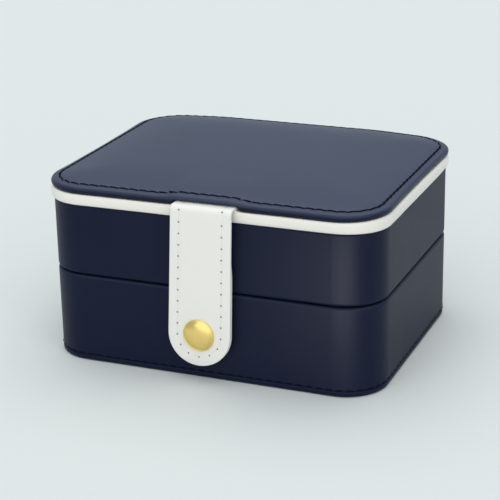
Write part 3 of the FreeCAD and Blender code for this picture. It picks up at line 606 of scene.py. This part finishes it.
def toward_middle(share, last_share):
    """The rule for a ring further in, which is the ring before it drawn to the middle."""
    reach_x = HALF_X - STITCH_INSET
    reach_y = HALF_Y - STITCH_INSET
    shrink_x = (reach_x - share * CROWN_RUN) / (reach_x - last_share * CROWN_RUN)
    shrink_y = (reach_y - share * CROWN_RUN) / (reach_y - last_share * CROWN_RUN)

    def move(point):
        spot = Vector((point.x * shrink_x, point.y * shrink_y, crown_height(share)))
        uneven = noise.noise(Vector((spot.x, spot.y, 0)) * 24) * UNEVEN
        spot.z += top_lift(spot) + uneven * smooth_step(NEAR_STITCHES[-1], 0.8, share)
        return spot
    return move


for share in NEAR_STITCHES:
    ring = extrude_round(pad, ring, onto_crown(share))
for last_share, share in zip(NEAR_STITCHES[-1:] + FURTHER_IN, FURTHER_IN):
    ring = extrude_round(pad, ring, toward_middle(share, last_share))
bmesh.ops.contextual_create(pad, geom=ring)
print("crown rings:", len(NEAR_STITCHES + FURTHER_IN))


# %% Pad piece
def finish_piece(name, mesh, material, sharp=None):
    """Make an object at the origin from a bmesh, with its faces pointing outwards."""
    bmesh.ops.recalc_face_normals(mesh, faces=mesh.faces)
    if all(edge.is_manifold for edge in mesh.edges) and mesh.calc_volume(signed=True) < 0:
        bmesh.ops.reverse_faces(mesh, faces=mesh.faces)
    data = bpy.data.meshes.new(name)
    mesh.to_mesh(data)
    mesh.free()
    for polygon in data.polygons:
        polygon.use_smooth = True
    if sharp:
        data.set_sharp_from_angle(angle=math.radians(sharp))
    data.materials.append(material)
    piece = bpy.data.objects.new(name, data)
    scene.collection.objects.link(piece)
    return piece


lid_cushion = finish_piece("lid_cushion", pad, navy_pad)
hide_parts("lid_pad")
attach(lid_cushion, "lid")
print("pad faces:", len(lid_cushion.data.polygons))

# %% [markdown]
# ## The piping
# White leather is wrapped round a cord and caught between the pad and the lid board. A sweep of a circle
# would look too hard: the pad presses it flat on top, and its lower edge hangs over the tray's rim at the
# front and sides. At the rear it runs behind the hinge leather, where it is thinned. So the outline is
# extruded round a flattened circle, and its last ring is merged with its first.

# %% Piping shape
PIPE = 2.6 * MM
PIPE_OUT = 1.2 * MM
PIPE_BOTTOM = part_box("lid_piping")[0].z
PIPE_LEVEL = PIPE_BOTTOM + PIPE
PIPE_CEILING = PAD_FLOOR - 0.02 * MM
PIPE_SAG = 0.8 * MM
PIPE_UNEVEN = 0.05 * MM
PIPE_STEPS = 28
FRONT_LIP = 0.7 * MM
SIDE_LIP = 1.3 * MM
LIP_OUT = 0.7 * MM
LIP_FADES = 25 * MM
LIP_ENDS = 50 * MM


def squared(amount, power):
    """A sine or cosine drawn toward 1, which turns a circle into a flatter round."""
    return math.copysign(abs(amount) ** power, amount)


def lip(point):
    """How far the lower edge of the piping hangs over the rim of the tray, and not near the hinge."""
    facing = outward(point)
    ahead = 1 - smooth_step(LIP_FADES, LIP_ENDS, point.y)
    return ahead * (FRONT_LIP * facing.y ** 2 + SIDE_LIP * facing.x ** 2)


def onto_pipe(angle):
    """The rule that moves a ring of vertices to one angle round the piping."""
    out = squared(math.cos(angle), 0.7)
    rise = squared(math.sin(angle), 0.85)
    below = max(0.0, -rise)

    def move(point):
        radius = PIPE + noise.noise(Vector((point.x, point.y, 0)) * 60) * PIPE_UNEVEN
        inset = PIPE - PIPE_OUT - out * radius
        height = min(PIPE_LEVEL + rise * radius, PIPE_CEILING - front_sag(point))
        spot = rim_place(point, inset, height)
        thin = 1 - smooth_step(HINGE_HALF, HINGE_HALF + 2 * MM, abs(spot.x)) if spot.y > 0 else 0.0
        if thin > 0:
            spot.y = min(spot.y, HALF_Y - 0.05 * MM + (1 - thin) * 3 * MM)
        spot.z = max(spot.z, PIPE_BOTTOM) - PIPE_SAG * max(0.0, out) * below * (1 - thin)
        spot.z -= lip(spot) * smooth_step(0.0, LIP_OUT, -inset) * below
        return spot
    return move


# %% Piping piece
pipe = bmesh.new()
ring = case_outline(pipe, PIPE - PIPE_OUT, PIPE_BOTTOM, spacing=1.6 * MM)
bmesh.ops.delete(pipe, geom=list(pipe.faces), context="FACES_ONLY")
for step in range(1, PIPE_STEPS + 1):
    ring = extrude_round(pipe, ring, onto_pipe(math.radians(-90 + step * 360 / PIPE_STEPS)))
bmesh.ops.remove_doubles(pipe, verts=pipe.verts, dist=PIPE_UNEVEN + 0.01 * MM)
lid_pipe = finish_piece("lid_pipe", pipe, piping_white)
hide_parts("lid_piping")
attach(lid_pipe, "lid")
print("piping faces:", len(lid_pipe.data.polygons))

# %% [markdown]
# ## Stitches
# Each stitch is a short length of thread that rises from one hole and dives into the next. A stretched
# sphere with few faces is enough, because hundreds of them are needed. All stitches of a seam are one piece.
# On the lid they lie in the groove behind the roll, each a little aslant.


# %% Lid stitches
def sew(name, stitches, length, thick, material):
    """One piece with all stitches, each given by its middle, its direction and its up side."""
    thread = bmesh.new()
    for middle, along, up in stitches:
        side = up.cross(along).normalized()
        turn = Matrix((along.normalized(), side, up.normalized())).transposed().to_4x4()
        size = Matrix.Diagonal((length / 2, thick / 2, thick / 2, 1))
        bmesh.ops.create_uvsphere(thread, u_segments=8, v_segments=6, radius=1.0,
                                  matrix=Matrix.Translation(middle) @ turn @ size)
    return finish_piece(name, thread, material)


def round_the_rim(inset, height, pitch):
    """Places for stitches all round the outline, each with the direction along it and out of it."""
    total = way_round(inset)
    count = round(total / pitch)
    places = []
    for number in range(count):
        middle, along, out = rim_spot((number + 0.5) * total / count, inset)
        middle.z = height
        places.append((middle, along, out))
    return places


SLANT = 0.18
lid_stitches = []
for middle, along, out in round_the_rim(STITCH_INSET, STITCH_LEVEL + 0.12 * MM, STITCH_PITCH):
    middle.z += top_lift(middle)
    lid_stitches.append((middle, (along + out * SLANT).normalized(), Vector((0, 0, 1))))
lid_thread = sew("lid_thread", lid_stitches, 5.4 * MM, 0.78 * MM, dark_thread)
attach(lid_thread, "lid")
print("lid stitches:", len(lid_stitches))

# %% [markdown]
# ## Base stitches
# The base panel is sewn to the leather of the wall, and its thread shows as a dark dashed line just above
# the bottom edge. The stitches stand on the wall, so they face outwards.

# %% Base stitches
BASE_PITCH = 4.4 * MM
base_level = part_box("base_panel")[1].z + 0.25 * MM
base_stitches = round_the_rim(-0.02 * MM, base_level, BASE_PITCH)
base_thread = sew("base_thread", base_stitches, 3.5 * MM, 0.52 * MM, dark_thread)
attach(base_thread, "lower_box")
print("base stitches:", len(base_stitches))

# %% [markdown]
# ## The strap
# The strap is one leather from its tab under the pad, over the piping and down to the snap, with a second
# leather behind its hanging run. Each is modelled flat, as it was cut: a rectangle whose lower corners are
# beveled to a half circle, given its thickness and rounded edges. Then it is cut across in narrow bands, and
# each vertex is laid along the strap's path, which leans to one side and narrows toward the bend. The
# backing is tapered at its top, to stay behind the front leather.

# %% Strap path
TAB_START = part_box("strap_tab")[1].y
TAB_RUN = TAB_START - STRAP_AXIS.y
BEND = STRAP_AXIS.y - STRAP_BACK
BEND_RUN = BEND * QUARTER
HANG_START = TAB_RUN + BEND_RUN
STRAP_LONG = HANG_START + STRAP_AXIS.z - STRAP_TIP
END_ROW = STRAP_LONG - STRAP_HALF


def along_strap(across, run, rise):
    """The place of a point on the strap: across it, along it from the tab, and above its back."""
    above_snap = END_ROW - run
    narrows = STRAP_NARROWS * max(0.0, min(1.0, above_snap / SNAP_RISE))
    side = across * (1 - narrows) + STRAP_LEAN * above_snap
    if run < TAB_RUN:
        return Vector((side, TAB_START - run, PAD_FLOOR + rise))
    if run < HANG_START:
        turn = (run - TAB_RUN) / BEND
        reach = BEND + rise
        return Vector((side, STRAP_AXIS.y - math.sin(turn) * reach, STRAP_AXIS.z + math.cos(turn) * reach))
    return Vector((side, STRAP_BACK - rise, STRAP_AXIS.z - (run - HANG_START)))


print("strap length:", round(STRAP_LONG / MM, 1), "mm")

# %% Strap leathers
SEAM_HALF = STRAP_HALF - 4.15 * MM
SEAM_DEPTH = 0.16 * MM
SEAM_WIDTH = 0.8 * MM
TAPER = 0.12
TAPER_RUN = 22 * MM
BAND = 1.5 * MM
SEAM_CUTS = (-2.4, -1.2, -0.6, 0.0, 0.6, 1.2, 2.4)


def strap_relief(across, run):
    """The leather is drawn in along its seam, so it swells a little between the two rows."""
    if run > END_ROW:
        from_seam = abs(math.hypot(across, run - END_ROW) - SEAM_HALF)
    else:
        from_seam = abs(abs(across) - SEAM_HALF)
    return -SEAM_DEPTH * math.exp(-(from_seam / SEAM_WIDTH) ** 2)


def cut(mesh, place, normal, snap=1e-7):
    """Cut new edges into a mesh along a plane."""
    bmesh.ops.bisect_plane(mesh, geom=mesh.verts[:] + mesh.edges[:] + mesh.faces[:], dist=snap,
                           plane_co=place, plane_no=normal)


def flat_leather(start, thickness, back):
    """A leather of the strap as it was cut, with rounded edges."""
    layer = bmesh.new()
    ends = []
    for across, run in ((-STRAP_HALF, start), (STRAP_HALF, start), (STRAP_HALF, STRAP_LONG),
                        (-STRAP_HALF, STRAP_LONG)):
        ends.append(layer.verts.new((across, run, back)))
    layer.faces.new(ends)
    bevel(layer, ends[2:], STRAP_HALF * 0.999, 28, affect="VERTICES", clamp=False)
    bmesh.ops.remove_doubles(layer, verts=layer.verts, dist=0.005 * MM)
    grown = bmesh.ops.extrude_face_region(layer, geom=list(layer.faces))["geom"]
    bmesh.ops.translate(layer, vec=(0, 0, thickness), verts=verts_of(grown))
    bmesh.ops.recalc_face_normals(layer, faces=layer.faces)
    rims = [edge for edge in layer.edges if abs(edge.verts[0].co.z - edge.verts[1].co.z) < 1e-7]
    bevel(layer, rims, thickness * 0.34, 3)
    return layer


def strap_layer(name, start, thickness, back, front):
    """A leather of the strap, cut into bands and laid along the path."""
    layer = flat_leather(start, thickness, back)
    rows = [TAB_RUN + BEND_RUN * part / 8 for part in range(9)]
    rows += [start + part * BAND for part in range(1, int((STRAP_LONG - start) / BAND))]
    for row in rows:
        if start + 0.2 * MM < row < STRAP_LONG - 0.2 * MM:
            cut(layer, (0, row, 0), (0, 1, 0))
    for side in (-1, 1):
        for step in SEAM_CUTS:
            cut(layer, (side * (SEAM_HALF + step * MM), 0, 0), (1, 0, 0))
    for vert in layer.verts:
        across, run, rise = vert.co
        if front and rise > back + thickness / 2:
            rise += strap_relief(across, run)
        if not front:
            across *= 1 - TAPER * (1 - smooth_step(0.0, TAPER_RUN, run - start))
        vert.co = along_strap(across, run, rise)
    return finish_piece(name, layer, white, sharp=50)


# %% Strap pieces
strap_band = strap_layer("strap_band", 0.0, STRAP_THICK, 0.0, front=True)
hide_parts("strap_leather", "strap_fold", "strap_tab")
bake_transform(strap_band)

backing_low, backing_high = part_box("strap_backing")
BACKING_START = HANG_START + STRAP_AXIS.z - backing_high.z
backing = strap_layer("strap_underside", BACKING_START, backing_high.y - backing_low.y,
                      STRAP_BACK - backing_high.y, front=False)
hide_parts("strap_backing")
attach(backing, "strap")
print("strap faces:", len(strap_band.data.polygons), len(backing.data.polygons))

# %% [markdown]
# ## Strap stitches
# The strap's thread is white and lies sunk in the leather, so what shows is the row of needle holes. Both
# are made: the thread between the holes, and at each hole a small grey bead, whose colour is painted shade.

# %% Strap stitches
SEAM_PITCH = 4.97 * MM
SEAM_ARC = math.pi * SEAM_HALF
FIRST_HOLE = 0.4 * MM
HOLES_UP_A_SIDE = 11
HOLE_RISE = STRAP_THICK - 0.10 * MM
THREAD_SUNK = 0.16 * MM


def on_seam(length):
    """A place on the seam, which goes down the right side, round the end and up the left side."""
    if length < 0:
        return SEAM_HALF, END_ROW + length
    if length > SEAM_ARC:
        return -SEAM_HALF, END_ROW + SEAM_ARC - length
    turn = length / SEAM_HALF
    return math.cos(turn) * SEAM_HALF, END_ROW + math.sin(turn) * SEAM_HALF


holes_round = int((SEAM_ARC - FIRST_HOLE) / SEAM_PITCH) + 1
holes = []
for number in range(-HOLES_UP_A_SIDE, holes_round + HOLES_UP_A_SIDE):
    across, run = on_seam(FIRST_HOLE + number * SEAM_PITCH)
    face = (along_strap(across, run, STRAP_THICK) - along_strap(across, run, 0)).normalized()
    holes.append((along_strap(across, run, HOLE_RISE), Vector((1, 0, 0)), face))
threads = []
for (here, right, face), later in zip(holes, holes[1:]):
    threads.append(((here + later[0]) / 2 - face * THREAD_SUNK, later[0] - here, face))
# Grey beads at the holes, whose colour is painted shade in the needle holes.
strap_hole_shades = sew("strap_hole_shades", holes, 0.8 * MM, 0.76 * MM, painted_hole_shade)
strap_thread = sew("strap_thread", threads, 4.3 * MM, 0.55 * MM, white_thread)
for stitches in (strap_hole_shades, strap_thread):
    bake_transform(stitches)
print("strap stitches:", len(threads))

# %% [markdown]
# ## The snap
# A snap has a domed cap on the strap with a socket behind it, and a stud and washer on the box. The packed
# socket, stud and washer are right as they are. The cap is what shows, so it is drawn again with its rolled
# rim, as half a section that is spun round its axis.

# %% Snap cap
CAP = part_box("snap_cap")[1].x
DOME = 0.9 * CAP
DOME_STEPS = 12
DOME_FOOT = 0.7 * MM
DOME_RISE = 1.85 * MM
section = []
for step in range(DOME_STEPS + 1):
    share = step / DOME_STEPS
    section.append((DOME * share, DOME_FOOT + DOME_RISE * (1 - share ** 2.6) ** 0.64))
section += [(CAP * 0.925, 0.62 * MM), (CAP * 0.95, 0.74 * MM), (CAP * 0.975, 0.7 * MM)]
section += [(CAP * 0.995, 0.52 * MM), (CAP, 0.32 * MM), (CAP * 0.985, 0.1 * MM)]
section += [(CAP * 0.94, 0.0), (0.0, 0.0)]
lathe = bmesh.new()
corners = [lathe.verts.new((radius, STRAP_FACE - out, 0)) for radius, out in section]
edges = [lathe.edges.new(pair) for pair in zip(corners, corners[1:])]
bmesh.ops.spin(lathe, geom=corners + edges, cent=(0, 0, 0), axis=(0, 1, 0), angle=2 * math.pi, steps=56,
               use_merge=True)
bmesh.ops.remove_doubles(lathe, verts=lathe.verts, dist=0.002 * MM)
bmesh.ops.translate(lathe, vec=(0, 0, SNAP_LEVEL), verts=lathe.verts)
snap_dome = finish_piece("snap_dome", lathe, gold, sharp=40)
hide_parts("snap_cap")
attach(snap_dome, "strap")
print("cap faces:", len(snap_dome.data.polygons))

# %% [markdown]
# ## The hinge leather
# One strip of leather runs down the rear, glued to lid, tray and box, with a little slack at each hinge
# line. It is made as two pieces that meet on the tray, each with the slack at one hinge line. A strip is
# an edge that is extruded along the profile, given thickness and beveled.

# %% Hinge strip
LID_LINE = joints["lid_hinge"].z
TRAY_LINE = joints["tray_hinge"].z
TRAY_MIDDLE = (TRAY_LINE + LID_LINE) / 2
SLACK = 1.05 * MM
SLACK_HALF = 2.4 * MM
SLACK_STEPS = 16


def slack_profile(level):
    """The slack at a hinge line, from top to bottom, as distances out from the wall and heights."""
    profile = []
    for step in range(SLACK_STEPS + 1):
        share = 1 - 2 * step / SLACK_STEPS
        out = SLACK * (0.5 + 0.5 * math.cos(math.pi * share)) ** 0.8
        profile.append((out, level + share * SLACK_HALF))
    return profile


def hinge_strip(name, profile):
    """A strip of leather along a profile, with its thickness and rounded edges."""
    strip = bmesh.new()
    ends = [strip.verts.new((side * HINGE_HALF, HALF_Y + profile[0][0], profile[0][1])) for side in (-1, 1)]
    edges = [strip.edges.new(ends)]
    for before, after in zip(profile, profile[1:]):
        step = Vector((0, after[0] - before[0], after[1] - before[1]))
        grown = extrude_round(strip, edges, lambda point: point + step)
        edges = [edge for edge in grown if edge.calc_length() > HINGE_HALF]
    bmesh.ops.recalc_face_normals(strip, faces=strip.faces)
    if strip.faces[:][-1].normal.y < 0:
        bmesh.ops.reverse_faces(strip, faces=strip.faces)
    bmesh.ops.solidify(strip, geom=list(strip.faces), thickness=-LEATHER)
    bmesh.ops.recalc_face_normals(strip, faces=strip.faces)
    rims = []
    for edge in strip.edges:
        meets_other = all(abs(vert.co.z - TRAY_MIDDLE) < 0.01 * MM for vert in edge.verts)
        if edge.calc_face_angle(0) > math.radians(60) and not meets_other:
            rims.append(edge)
    bevel(strip, rims, 0.25 * MM, 2)
    return finish_piece(name, strip, navy, sharp=60)


# %% Hinge pieces
tab_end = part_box("hinge_leather_lid")[0].y
lid_profile = [(tab_end - HALF_Y, PAD_FLOOR), (-0.5 * MM, PAD_FLOOR)]
lid_profile += [(-0.05 * MM, PAD_FLOOR - 0.2 * MM), (0.0, PAD_FLOOR - 0.7 * MM)]
lid_profile += slack_profile(LID_LINE) + [(0.0, TRAY_MIDDLE)]
hinge_upper = hinge_strip("hinge_strip_upper", lid_profile)
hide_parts("hinge_leather_lid", "hinge_fold_lid")
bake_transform(hinge_upper)

tray_profile = [(0.0, TRAY_MIDDLE)] + slack_profile(TRAY_LINE)
tray_profile += [(0.0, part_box("hinge_leather_lower")[0].z)]
hinge_lower = hinge_strip("hinge_strip_lower", tray_profile)
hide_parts("hinge_leather_tray", "hinge_fold_tray", "hinge_leather_lower")
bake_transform(hinge_lower)
print("hinge faces:", len(hinge_upper.data.polygons), len(hinge_lower.data.polygons))

# %% [markdown]
# ## Ring rolls
# The ring rolls are foam in velvet. Foam wants to be round and the cloth holds it, which is what a cloth
# simulation with pressure gives. One roll is blown up that way, and the other six are copies of its mesh.

# %% Ring roll shape
ROLL_GAP = 0.6 * MM
ROLL_LOW = 0.4 * MM


def soft_roll(low, high):
    """A roll before it is filled: an arched block, a little smaller than its room."""
    roll = bmesh.new()
    middle = (low + high) / 2
    bmesh.ops.create_cube(roll, size=1.0)
    bmesh.ops.scale(roll, vec=high - low - 2 * Vector((ROLL_GAP, ROLL_GAP, ROLL_LOW)), verts=roll.verts)
    bmesh.ops.translate(roll, vec=middle - Vector((0, 0, ROLL_LOW)), verts=roll.verts)
    ridges = []
    for edge in roll.edges:
        run = edge.verts[1].co - edge.verts[0].co
        if abs(run.x) > 20 * MM and edge.verts[0].co.z > middle.z:
            ridges.append(edge)
    bevel(roll, ridges, 6.0 * MM, 10)
    end = (high.x - low.x) / 2 - ROLL_GAP
    arches = []
    for edge in roll.edges:
        at_end = all(abs(abs(vert.co.x - middle.x) - end) < 0.01 * MM for vert in edge.verts)
        heights = [vert.co.z for vert in edge.verts]
        stands = min(heights) > low.z + 0.5 * MM or max(heights) - min(heights) > 2 * MM
        if at_end and stands:
            arches.append(edge)
    bevel(roll, arches, 2.4 * MM, 5)
    return roll


roll_names = ["ring_roll_" + str(number) for number in range(1, 8)]
roll_low, roll_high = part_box(roll_names[0])
first_roll = finish_piece("soft_roll_1", soft_roll(roll_low, roll_high), roll_velvet)
print("faces before the foam:", len(first_roll.data.polygons))

# %% Foam in the roll
SKIN = 1.2 * MM
PRESSURE = 4.0
FOAM_FRAMES = 20
FOAM_MOST = 0.9 * MM


def apply_modifier(piece, name):
    bpy.context.view_layer.objects.active = piece
    bpy.ops.object.modifier_apply(modifier=name)


def fill_with_foam(piece):
    """Blow a closed piece up with Cloth, and cap how far each point moves."""
    before = [vert.co.copy() for vert in piece.data.vertices]
    cloth = piece.modifiers.new("foam", "CLOTH")
    cloth.settings.use_pressure = True
    cloth.settings.uniform_pressure_force = PRESSURE
    cloth.settings.effector_weights.gravity = 0.0
    for number in range(1, FOAM_FRAMES + 1):
        scene.frame_set(number)
    apply_modifier(piece, "foam")
    scene.frame_set(1)
    for vert, start in zip(piece.data.vertices, before):
        step = vert.co - start
        if step.length > FOAM_MOST:
            vert.co = start + step * (FOAM_MOST / step.length)


remesh = first_roll.modifiers.new("even", "REMESH")
remesh.mode = "VOXEL"
remesh.voxel_size = SKIN
apply_modifier(first_roll, "even")
fill_with_foam(first_roll)
for vert in first_roll.data.vertices:
    for axis in range(3):
        vert.co[axis] = max(roll_low[axis], min(roll_high[axis], vert.co[axis]))
for polygon in first_roll.data.polygons:
    polygon.use_smooth = True
print("roll vertices:", len(first_roll.data.vertices))

# %% All ring rolls
soft_rolls = [first_roll]
for number, name in enumerate(roll_names[1:], 2):
    copy = first_roll.data.copy()
    copy.transform(Matrix.Translation(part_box(name)[0] - roll_low))
    soft_rolls.append(bpy.data.objects.new("soft_roll_" + str(number), copy))
    scene.collection.objects.link(soft_rolls[-1])
for roll, name in zip(soft_rolls, roll_names):
    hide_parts(name)
    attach(roll, "upper_tray")
print("rolls:", len(soft_rolls))

# %% [markdown]
# ## Floor cloths
# The floors are a thin wadding under velvet. It is held down under the dividers, the rolls and the wall
# lining, and it swells a little between them. The outline is cut into a grid, given its thickness, and each
# point of the top rises by its distance from whatever holds it down.

# %% Floor cloth shape
PUFF = 0.6 * MM
PUFF_REACH = 9 * MM
GRID = 1.5 * MM
ROOM_INSET = HALF_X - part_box("tray_lining")[1].x + 0.7 * MM


def from_wall(point):
    """How far a point lies inside the outline of the case."""
    from_core = (Vector((point.x, point.y, 0)) - core_of(point)).length
    if from_core > 0:
        return CORNER - from_core
    return min(HALF_X - abs(point.x), HALF_Y - abs(point.y))


def from_box(point, low, high):
    """How far a point lies from a box, seen from above."""
    beside_x = max(low.x - point.x, 0.0, point.x - high.x)
    beside_y = max(low.y - point.y, 0.0, point.y - high.y)
    return math.hypot(beside_x, beside_y)


def floor_cloth(name, node, weights):
    """A cloth in place of a floor node, held down by the wall and by the boxes of the weights."""
    low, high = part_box(node)
    cloth = bmesh.new()
    case_outline(cloth, HALF_X - high.x, low.z, spacing=2 * GRID, corner_steps=10)
    for axis, reach in ((Vector((1, 0, 0)), high.x), (Vector((0, 1, 0)), high.y)):
        count = int(reach / GRID)
        for step in range(1, count):
            cut(cloth, axis * (2 * step / count - 1) * reach, axis, snap=1e-6)
    grown = bmesh.ops.extrude_face_region(cloth, geom=list(cloth.faces))["geom"]
    for vert in verts_of(grown):
        clear = from_wall(vert.co) - ROOM_INSET
        for weight in weights:
            clear = min(clear, from_box(vert.co, *weight))
        wadding = 0.85 + 0.3 * noise.noise(vert.co * 70)
        vert.co.z = high.z - 0.02 * MM + PUFF * wadding * smooth_step(0.0, PUFF_REACH, clear)
    return finish_piece(name, cloth, lining, sharp=50)


# %% Floor cloths
lower_weights = [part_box(node) for node in ("lower_divider_main", "lower_divider_left", "lower_divider_right")]
tray_weights = [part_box(node) for node in ("tray_divider_main", "tray_divider_cross")]
tray_weights.append((roll_low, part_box(roll_names[-1])[1]))
floors = (("lower_floor_cloth", "lower_floor_pad", "lower_box", lower_weights),
          ("tray_floor_cloth", "tray_floor_pad", "upper_tray", tray_weights))
for name, node, body, weights in floors:
    cloth = floor_cloth(name, node, weights)
    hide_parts(node)
    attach(cloth, body)
    print(name, "faces:", len(cloth.data.polygons))

# %% [markdown]
# ## Camera
# The camera stands where the photograph was taken from: a little to the right of the front, looking down
# at about 20 degrees with a long lens. Its numbers come from fitting the outline of the case.

# %% Camera
AZIMUTH = math.radians(22.4)
ELEVATION = math.radians(19.86)
TILT = math.radians(-1.14)
DISTANCE = 712.3 * MM
LOOK_AT = Vector((0, 0, 40 * MM))
LOOK_LEFT = 2.48 * MM
LOOK_LOWER = 2.45 * MM
toward = Vector((math.sin(AZIMUTH) * math.cos(ELEVATION), -math.cos(AZIMUTH) * math.cos(ELEVATION),
                 math.sin(ELEVATION)))
level = heading(AZIMUTH)
upright = toward.cross(level)
right = level * math.cos(TILT) + upright * math.sin(TILT)
above = upright * math.cos(TILT) - level * math.sin(TILT)
target = LOOK_AT - right * LOOK_LEFT - above * LOOK_LOWER
lens = bpy.data.cameras.new("photo_camera")
lens.sensor_width = 36.0
lens.lens = 114.7
lens.clip_start = 0.01
camera = bpy.data.objects.new("photo_camera", lens)
turn = Matrix((right, above, toward)).transposed().to_4x4()
camera.matrix_world = Matrix.Translation(target + toward * DISTANCE) @ turn
scene.collection.objects.link(camera)
scene.camera = camera
print("camera at", [round(part, 3) for part in camera.location])

# %% [markdown]
# ## Floor and light
# A product photograph is lit evenly from large soft sources. Near lamps would leave bright patches on the
# floor, so a bright room and two wide suns light everything alike. The higher one stands for a softbox
# over the case, which lights the rolled edge and the snap, and the other comes from beside the camera.

# %% Floor
FLOOR_HALF = 20.0
floor_mesh = bmesh.new()
bmesh.ops.create_grid(floor_mesh, x_segments=1, y_segments=1, size=FLOOR_HALF)
bmesh.ops.translate(floor_mesh, vec=(0, 0, -0.05 * MM), verts=floor_mesh.verts)
paper = Finish("floor_paper")
paper.shine(Base_Color=rgb(222, 226, 224), Roughness=0.9, Specular_IOR_Level=0.0)
floor = finish_piece("floor", floor_mesh, paper.material)
print("floor", 2 * FLOOR_HALF, "m wide")

# %% Room and suns
world = bpy.data.worlds.new("bright_room")
world.use_nodes = True
scene.world = world
room = world.node_tree.nodes["Background"]
room.inputs["Color"].default_value = (0.88, 0.97, 1.07, 1.0)
room.inputs["Strength"].default_value = 0.5
scene.view_settings.view_transform = "Standard"


def hang_lamp(lamp, toward_light):
    """An object that holds a lamp and shines away from the given direction."""
    holder = bpy.data.objects.new(lamp.name, lamp)
    holder.rotation_euler = Vector(toward_light).to_track_quat("Z", "Y").to_euler()
    scene.collection.objects.link(holder)
    return holder


def sun(name, toward_light, strength, spread):
    lamp = bpy.data.lights.new(name, "SUN")
    lamp.color = (1.0, 0.985, 0.95)
    lamp.energy = strength
    lamp.angle = math.radians(spread)
    return hang_lamp(lamp, toward_light)


suns = [sun("top_sun", (-0.1, 0.25, 0.96), 1.1, 60), sun("front_sun", (0.25, -0.8, 0.55), 1.4, 90)]
print("suns:", len(suns))

# %% [markdown]
# ## A strip in the gloss
# The lower part of the walls shows a soft light band, as from a low strip of light in front of the case. A
# plain lamp there would also light the floor and the strap, so light linking lets this one reach only the
# two wall leathers, and only in their gloss.

# %% Low strip
strip = bpy.data.lights.new("low_strip", "AREA")
strip.shape = "RECTANGLE"
strip.size = 0.11
strip.size_y = 0.04
strip.energy = 0.115
strip_holder = hang_lamp(strip, (0.15, -1.0, 0.0))
strip_holder.location = (0.08, -0.15, 0.02)
strip_holder.visible_diffuse = False
walls = bpy.data.collections.new("walls_in_the_strip")
for node in ("lower_wrap", "tray_wrap"):
    walls.objects.link(frame["nodes"][node])
strip_holder.light_linking.receiver_collection = walls
